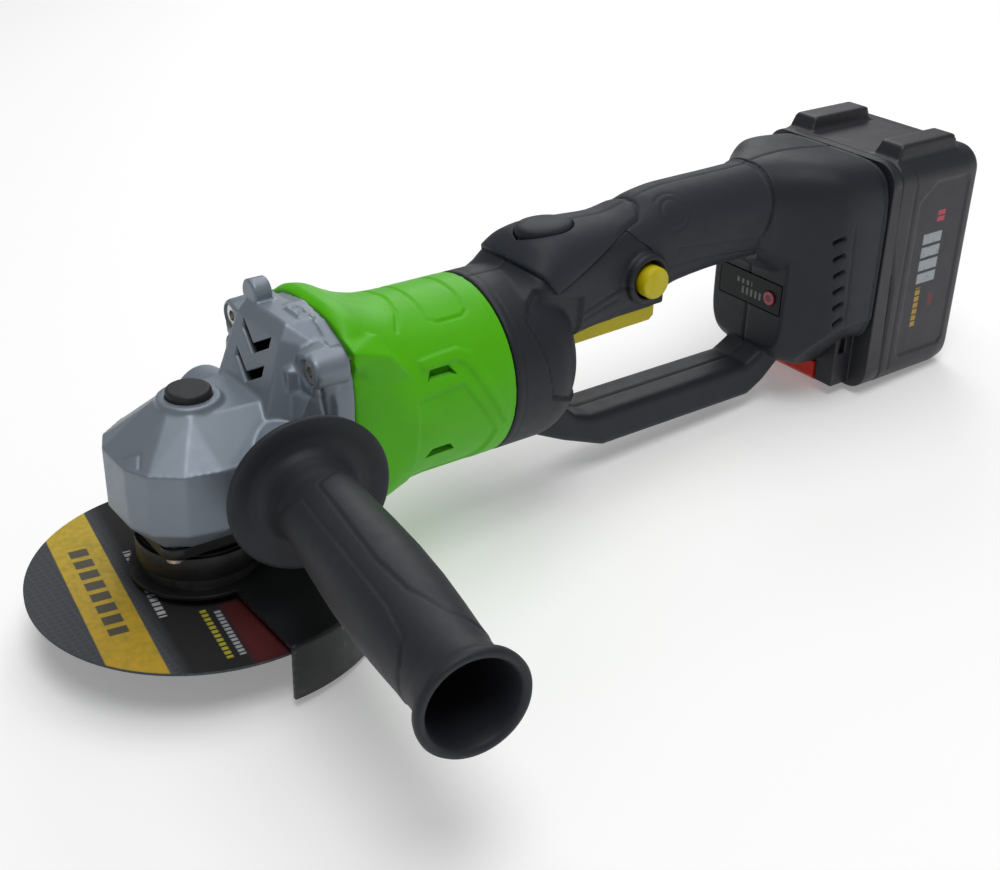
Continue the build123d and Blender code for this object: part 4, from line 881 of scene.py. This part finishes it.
def flange_blocks():
    """Sloped tower, shoulders, rim, four screw corners and the tab on top."""
    tower_low = [(14, 20.5, 60), (21.4, 17.5, 79.5)]
    tower_top = [(27.4, 15.5, 101), (30.6, 13.5, 106)]
    tower_back = [(41, 27, 60), (41, 26, 97), (41, 15, 106.2)]
    shoulder = [(26.5, 21, 84), (26.5, 21, 92), (41, 31, 66), (41, 30, 91), (41, 20, 40), (41, 14, 101)]
    rim = [(33, 42), (32.8, 81), (31.4, 90), (27.4, 98), (14.6, 104.2), (0, 106.4)]
    rim += [(-y, z) for y, z in reversed(rim[:-1])] + [(-30, 32), (30, 32)]
    blocks = [hull(both_sides(tower_low + tower_top + tower_back)), hull(both_sides(shoulder)),
              prism(rim, 38.2, FLANGE_X, "x")]
    for y, z in SCREW_PLACES:
        blocks.append(turned([(0, 0), (0, 5.6), (1.2, 6.1), (13, 6.6), (13, 0)], (30.8, y, z), (1, 0, 0), 40))
    # facets round the upper screws: x, share of the screws' distance from the middle, z
    lower_facets = [(27, 0.93, 76), (29.5, 1.08, 85), (27.5, 0.72, 84), (38, 1.12, 76), (38, 1.14, 88),
                    (25, 0.9, 68), (38, 1.05, 64)]
    upper_facets = [(30.2, 0.72, 87), (30.2, 1.1, 86.5), (30.2, 1.12, 95), (30.2, 0.95, 99.4),
                    (30.2, 0.74, 98), (40, 0.7, 84), (40, 1.15, 84), (40, 1.15, 96), (40, 0.96, 101),
                    (40, 0.7, 101)]
    for y in (-SCREW_Y, SCREW_Y):
        for facets in (lower_facets, upper_facets):
            blocks.append(hull([(x, y * share, z) for x, share, z in facets]))
    tab = [(12, 103)] + arc((12, 108), 5.2, -34.4, 212, 13)
    blocks.append(prism(tab, 30.6, 37.4, "x"))
    return blocks


def engrave_casting(casting):
    """Generic mark of two sunk squares on the flange, and short lines on the flanks and nose."""
    place, normal = points_of(casting)
    top = place[:, [0, 1]]
    side = place[:, [0, 2]]
    on_top = (place[:, 2] > 99) & (place[:, 0] < 44)
    mark = [(36.5, -12.5), (43.2, -12.5), (43.2, -2.5), (36.5, -2.5)]
    field = np.where(on_top, panel(top, mark, 0.7, 0.7), 0)
    for low, high in ((-11, -8.2), (-6.8, -4)):
        square = [(38.2, low), (41.6, low), (41.6, high), (38.2, high)]
        field -= np.where(on_top, panel(top, square, 0.9, 0.6), 0)
    flank = (np.abs(place[:, 1]) > 20) & (place[:, 0] > 24)
    field += np.where(flank, groove(side, [(33.6, 88), (35.5, 76), (35.8, 62)], 1.3, 0.8), 0)
    nose = (place[:, 0] < -8) & (place[:, 2] > 66)
    field += np.where(nose, groove(place[:, [1, 2]], [(-4, 67.2), (-9, 70.5), (-13, 67.5)], 1.1, 0.4), 0)
    move_points(casting, place + normal * field[:, None])


def chevron(z):
    """Outline (y, z) of one V-shaped vent in the tower."""
    return [(-10, z + 2.4), (0, z - 3.2), (10, z + 2.4), (10, z - 1.4), (0, z - 7.2), (-10, z - 1.4)]


def gear_casting():
    """Facetted casting melted from convex blocks, hollow inside as the gears need."""
    blocks = head_blocks() + flange_blocks()
    outwards = [(-math.sin(HANDLE_TILT), side * math.cos(HANDLE_TILT), 0) for side in (-1, 1)]
    handle_place = (HANDLE_X, 0, HANDLE_Z)
    for outward in outwards:
        boss = [(14, 0), (14, 12.5), (34.5, 11.5), (35.8, 10.8), (35.8, 0)]
        blocks.append(turned(boss, handle_place, outward, 64))
    casting = remould(join("casting", blocks), 0.62, 3)
    engrave_casting(casting)
    # chamber behind the tower's thin front wall, and the two vents into it
    chamber = [(x, 11.5, z) for x, z in ((24.2, 80.5), (30.0, 101.5), (44, 80.5), (44, 101.5))]
    cut(casting, [hull(both_sides(chamber))])
    cut(casting, [prism(chevron(98.2), 20, 38, "x"), prism(chevron(88.2), 15, 36, "x")])
    gear_room = [(36, 0), (36, 22), (65.5, 22), (73.5, 14.5), (73.5, 0)]
    button_hole = [(76.3, 0), (76.3, 8.2), (90, 8.2), (90, 0)]
    pinion_room = [(33, 0), (33, 13), (42.5, 13), (42.5, 30), (50, 30), (50, 0)]
    cutters = [turned(gear_room, (0, 0, 0), (0, 0, 1), 64), turned(button_hole, (0, 0, 0), (0, 0, 1), 64),
               turned(pinion_room, (0, 0, MOTOR_Z), (1, 0, 0), 64)]
    screw_hole = [(-16, 0), (-16, 4.7), (0, 4.7), (0, 2.6), (14, 2.6), (14, 0)]
    cutters += [turned(screw_hole, (34.0, y, z), (1, 0, 0), 32) for y, z in SCREW_PLACES]
    socket = [(22.2, 0), (22.2, 6.45), (40, 6.45), (40, 0)]
    cutters += [turned(socket, handle_place, outward, 40) for outward in outwards]
    cut(casting, cutters)
    dress(casting, "gear_casting", "head_metal", "root", ["gear_housing"])


# ---- motor housing
def motor_casing():
    """Green casing: a boxy flange that turns into a round barrel, with vents in both flanks."""
    skin = loft([rounded_section(*row) for row in smooth_between((
        (FLANGE_X, 32.7, 29.5, 105.8, 6.5, 3.4),
        (49, 33.1, 29.2, 107.6, 6.5, 3.2),
        (53, 33.4, 29.8, 107.2, 6, 3.0),
        (59, 33.8, 31.0, 104.2, 4.6, 2.8),
        (66, 34.9, 29.6, 101.6, 2.9, 2.4),
        (74, 35.5, 29.0, 100.4, 2.2, 2.1),
        (84, 35.6, 28.9, 100.1, 2, 2),
        (SEAM_X, 35.6, 28.9, 100.1, 2, 2)), 1.5)])
    boss = [(0, 0), (0, 5.2), (9, 4.6), (9, 0)]
    parts = [skin] + [turned(boss, (FLANGE_X, y, z), (1, 0, 0), 40) for y, z in SCREW_PLACES]
    # facets behind the upper screws: x, share of the screws' distance from the middle, z
    facets = [(FLANGE_X, 1.16, 98.5), (FLANGE_X, 1.1, 84), (FLANGE_X, 0.72, 103), (61, 1.16, 93.5),
              (67, 1.12, 88), (60, 0.9, 99.5), (72, 1.14, 80), (58, 1.17, 78), (55, 0.6, 80)]
    parts += [hull([(x, y * share, z) for x, share, z in facets]) for y in (-SCREW_Y, SCREW_Y)]
    casing = remould(join("casing", parts), 0.72, 4)
    engrave_casing(casing)
    depth = SEAM_X - FLANGE_X + 3
    bore = [(-2, 0), (-2, 29.6), (20, 29.6), (20, 32.1), (depth, 32.1), (depth, 0)]
    cutters = [turned(bore, (FLANGE_X, 0, MOTOR_Z), (1, 0, 0), 80)]
    for z in (81.2, 50.2):
        vent = [(75.5, z - 1.8), (88.5, z - 1.8), (86.2, z + 1.8), (77.8, z + 1.8)]
        cutters += [prism(vent, -50, -20), prism(vent, 20, 50)]
    screw_hole = [(-3, 0), (-3, 2.6), (9.6, 2.6), (9.6, 0)]
    cutters += [turned(screw_hole, (FLANGE_X, y, z), (1, 0, 0), 24) for y, z in SCREW_PLACES]
    cut(casing, cutters)
    dress(casing, "motor_casing", "green_plastic", "root", ["motor_housing"])


def engrave_casing(casing):
    """Slanted ridge and sunk panel on each flank, and grooves over the crown."""
    place, normal = points_of(casing)
    side = place[:, [0, 2]]
    flank = np.abs(place[:, 1]) > 16
    field = np.zeros(len(place))
    ridge = [(74.5, 86.6), (91.5, 87.2), (96.5, 84.5), (111, 56),
             (109, 54.5), (94, 80), (90, 83.4), (74.5, 83.2)]
    field += np.where(flank, panel(side, ridge, 1.0, 1.4), 0)
    recess = [(71, 74), (90.5, 75.5), (106, 52), (103, 34), (71, 34)]
    field -= np.where(flank, panel(side, recess, 1.0, 1.3), 0)
    top = place[:, [0, 1]]
    crown = place[:, 2] > 80
    strap = [(86, -17), (89, -19), (100, -19), (103, -17), (103, 17), (100, 19), (89, 19), (86, 17)]
    field += np.where(crown, groove(top, strap, 1.5, 0.7, closed=True), 0)
    field += np.where(crown, groove(top, [(71, -20), (76, -12), (78, 0), (76, 12), (71, 20)], 1.6, 0.7), 0)
    field += ring_groove(place, 111.6, 1.0, 0.3)
    move_points(casing, place + normal * field[:, None])


# ---- side handle
def side_handle():
    """Moulded grip turned round the stud's axis, with its hand guard, soft panels and open end."""
    outward = Vector((-math.sin(HANDLE_TILT), -math.cos(HANDLE_TILT), 0))
    centre = Vector((HANDLE_X, 0, HANDLE_Z))
    collar = [(36.4, 0), (36.4, 10.2), (37.4, 11.2), (44, 11.8), (47.5, 14.5)]
    hand_guard = [(49.2, 22), (50.0, 27), (50.7, 28.2), (51.9, 28.4), (52.8, 27.6), (52.7, 25), (52.0, 21)]
    swell = [(52.4, 17.6), (54.6, 15.6), (58, 14.6), (64, 14.0), (74, 14.5), (90, 15.4), (108, 16.0),
             (124, 15.9), (138, 15.2), (150, 14.4), (160, 14.1)]
    rim = [(165.5, 14.8), (168.3, 16.4), (169.4, 17.3), (171.6, 17.6), (172.7, 17.0), (172.9, 15.9),
           (172.2, 14.6), (170.5, 13.8)]
    hollow = [(150, 12.8), (131, 10.2), (128.5, 8.6), (128, 0)]
    outer = collar + hand_guard + swell + rim
    dense = []
    for (a, b), (c, d) in zip(outer, outer[1:]):
        steps = max(1, int(math.hypot(c - a, d - b) / 0.8))
        dense += [(a + (c - a) * i / steps, b + (d - b) * i / steps) for i in range(steps)]
    grip = turned(dense + [outer[-1]] + hollow, centre, outward, 144)
    relax(grip, 3)
    bake(grip)
    place, normal = points_of(grip)
    offset = place - np.array(centre)
    along = offset @ np.array(outward)
    radial = offset - np.outer(along, np.array(outward))
    reach = np.linalg.norm(radial, axis=1)
    turn = np.degrees(np.arctan2(radial @ np.array(outward.cross(Vector((0, 0, 1)))), radial[:, 2]))
    field = np.zeros(len(place))
    on_grip = (along > 56) & (along < 170) & (reach > 13.4)
    # each soft panel starts in a round lobe at the hand guard and closes in a bowl before the end
    lobe = [(62, -9), (60, -4), (60, 4), (62, 9), (70, 20), (118, 21), (136, 19), (149, 13), (154.5, 4),
            (155.5, -4), (154, -13), (149, -19), (136, -21), (118, -21), (70, -20)]
    for middle in (-62, 118):
        arcwise = ((turn - middle + 180) % 360 - 180) * math.radians(1) * 15
        flat = np.stack([along, arcwise], 1)
        field += np.where(on_grip, panel(flat, lobe, 0.35, 1.0) + groove(flat, lobe, 1.2, 0.35, True), 0)
    band = np.clip(1 - (np.abs(along - 167.6) / 0.7) ** 2, 0, 1) * (reach > 13.9)
    field -= 0.4 * band
    move_points(grip, place + normal * field[:, None])
    dress(grip, "side_handle_moulding", "handle_rubber", "root", ["side_handle_grip"])


# ---- battery
def boxed(x, half, low, high, radius):
    """A rounded rectangle square to X."""
    ring = []
    for cy, cz, start in ((half - radius, high - radius, 0), (radius - half, high - radius, 90),
                          (radius - half, low + radius, 180), (half - radius, low + radius, 270)):
        ring += [(x, y, z) for y, z in arc((cy, cz), radius, start, start + 90, 10)]
    return ring


def battery_case():
    """Rear shell of the battery with its top ribs, slanted seam, grip grooves and sunk side labels."""
    case = loft([boxed(*row) for row in (
        (311.4, 37.2, 12.4, 118.2, 9.5),
        (312.4, 37.5, 12, 118.5, 9.5),
        (362, 37.5, 12, 118.5, 10),
        (367.5, 36.9, 12.8, 117.8, 10),
        (370.4, 35.2, 14.6, 116, 9),
        (BATTERY_BACK_X + 8, 33.2, 16.6, 114, 8))])
    rib = [(317, 7.4, 112), (361, 7.4, 112), (319, 6.8, 120), (321.5, 6.0, 124.6), (356, 6.0, 124.6)]
    ribs = [hull([(x, y + side * half, z) for x, half, z in rib for side in (-1, 1)]) for y in (-25, 25)]
    whole = remould(join("case", [case, *ribs]), 0.8, 5)
    place, normal = points_of(whole)
    side = place[:, [0, 2]]
    flank = np.abs(place[:, 1]) > 30
    field = np.zeros(len(place))
    label = [(331, 27), (333, 25), (361, 25), (363.5, 28), (363.5, 104), (361, 107), (341, 107), (331, 99)]
    field -= np.where(flank, panel(side, label, 0.7, 1.0), 0)
    field += groove(side, [(316.4, 122), (316.4, 84), (321, 60), (321, 8)], 1.5, 0.9)
    field += np.where(flank, groove(side, [(324.5, 116), (326.5, 108), (326.5, 20)], 1.3, 0.5), 0)
    under = place[:, 2] < 16
    for x in range(330, 355, 8):
        field += np.where(under, groove(place[:, [0, 1]], [(x, -22), (x, 22)], 2.2, 0.8), 0)
    back = place[:, 0] > 369
    for z in range(40, 89, 6):
        field += np.where(back, groove(place[:, [1, 2]], [(-20, z), (20, z)], 2.0, 0.7), 0)
    move_points(whole, place + normal * field[:, None])
    cut(whole, [prism([(300, 15.5), (366, 15.5), (366, 115), (300, 115)], -34, 34)])
    cut(whole, [prism([(300, 130), (316.4, 130), (316.4, 84), (321, 60), (321, 0), (300, 0)], -60, 60)])
    dress(whole, "battery_case", "battery_plastic", "battery", ["battery_shell"])


# ---- oval cap and lock-off button
def top_cap():
    """Low domed oval cap in the well on top of the hump."""
    dome = [(107.3, 1.0), (112.7, 1.0), (113.4, 0.985), (113.9, 0.94), (114.3, 0.84), (114.65, 0.66),
            (114.9, 0.4), (115.0, 0.12)]
    cap = loft([[(x, y, z) for x, y in oval((CAP_X, 0), 12.2 * share, 9.0 * share)] for z, share in dome])
    dress(cap, "top_cap", "soft_grip", "top_button", ["top_button"])


def cap_spring():
    """Coil under the oval cap, short enough to stay covered when the cap is pressed."""
    coils, low, height = 4, 105.7, 5.2
    rings = []
    for share in np.linspace(0, 1, 24 * coils + 1):
        turn = 2 * math.pi * coils * share
        out = Vector((math.cos(turn), math.sin(turn), 0))
        centre = Vector((CAP_X, 0, low + height * share)) + out * 3.4
        rings.append([centre + (out * math.cos(t) + Vector((0, 0, math.sin(t)))) * 0.3
                      for t in np.linspace(0, 2 * math.pi, 10, endpoint=False)])
    dress(loft(rings), "cap_spring", "spring_steel", "root", ["top_button_spring"])


def lock_off_cap():
    """Yellow button on the near side of the grip, with a shadow gap round it."""
    profile = [(-9, 0), (-9, 6.5), (-1.0, 6.5), (-0.35, 6.25), (0, 5.6), (0, 0)]
    cap = turned(profile, (LOCK_OFF_X, LOCK_OFF_FACE, LOCK_OFF_Z - 0.4), (0, -1, 0), 72)
    dress(cap, "lock_off_cap", "yellow_plastic", "lock_off", ["lock_off_button"])


# ---- CAD pieces that keep their shape
def ease_edges(node, width):
    """Round the sharp edges of a CAD node with modifiers; its own mesh stays as packed."""
    piece = NODES[node]
    weld = piece.modifiers.new("weld", "WELD")
    weld.merge_threshold = 0.002 * MM
    flat = piece.modifiers.new("flat", "DECIMATE")
    flat.decimate_type = "DISSOLVE"
    flat.angle_limit = math.radians(0.5)
    ease = piece.modifiers.new("ease", "BEVEL")
    ease.width = width * MM
    ease.segments = 2
    ease.limit_method = "ANGLE"
    ease.angle_limit = math.radians(30)
    ease.harden_normals = True


# ---- scene
make_camera()
make_stage()
rear_body()
gear_casting()
motor_casing()
side_handle()
battery_case()
top_cap()
cap_spring()
lock_off_cap()
EASED_EDGES = {
    "bearing_cover": 0.5,
    "battery_base": 0.5,
    "trigger": 0.6,
    "guard": 0.25,
    "battery_latch": 0.6,
    "inner_flange": 0.2,
    "flange_nut": 0.3,
    "guard_clamp": 0.3,
}
for part_name, edge_width in EASED_EDGES.items():
    ease_edges(part_name, edge_width)
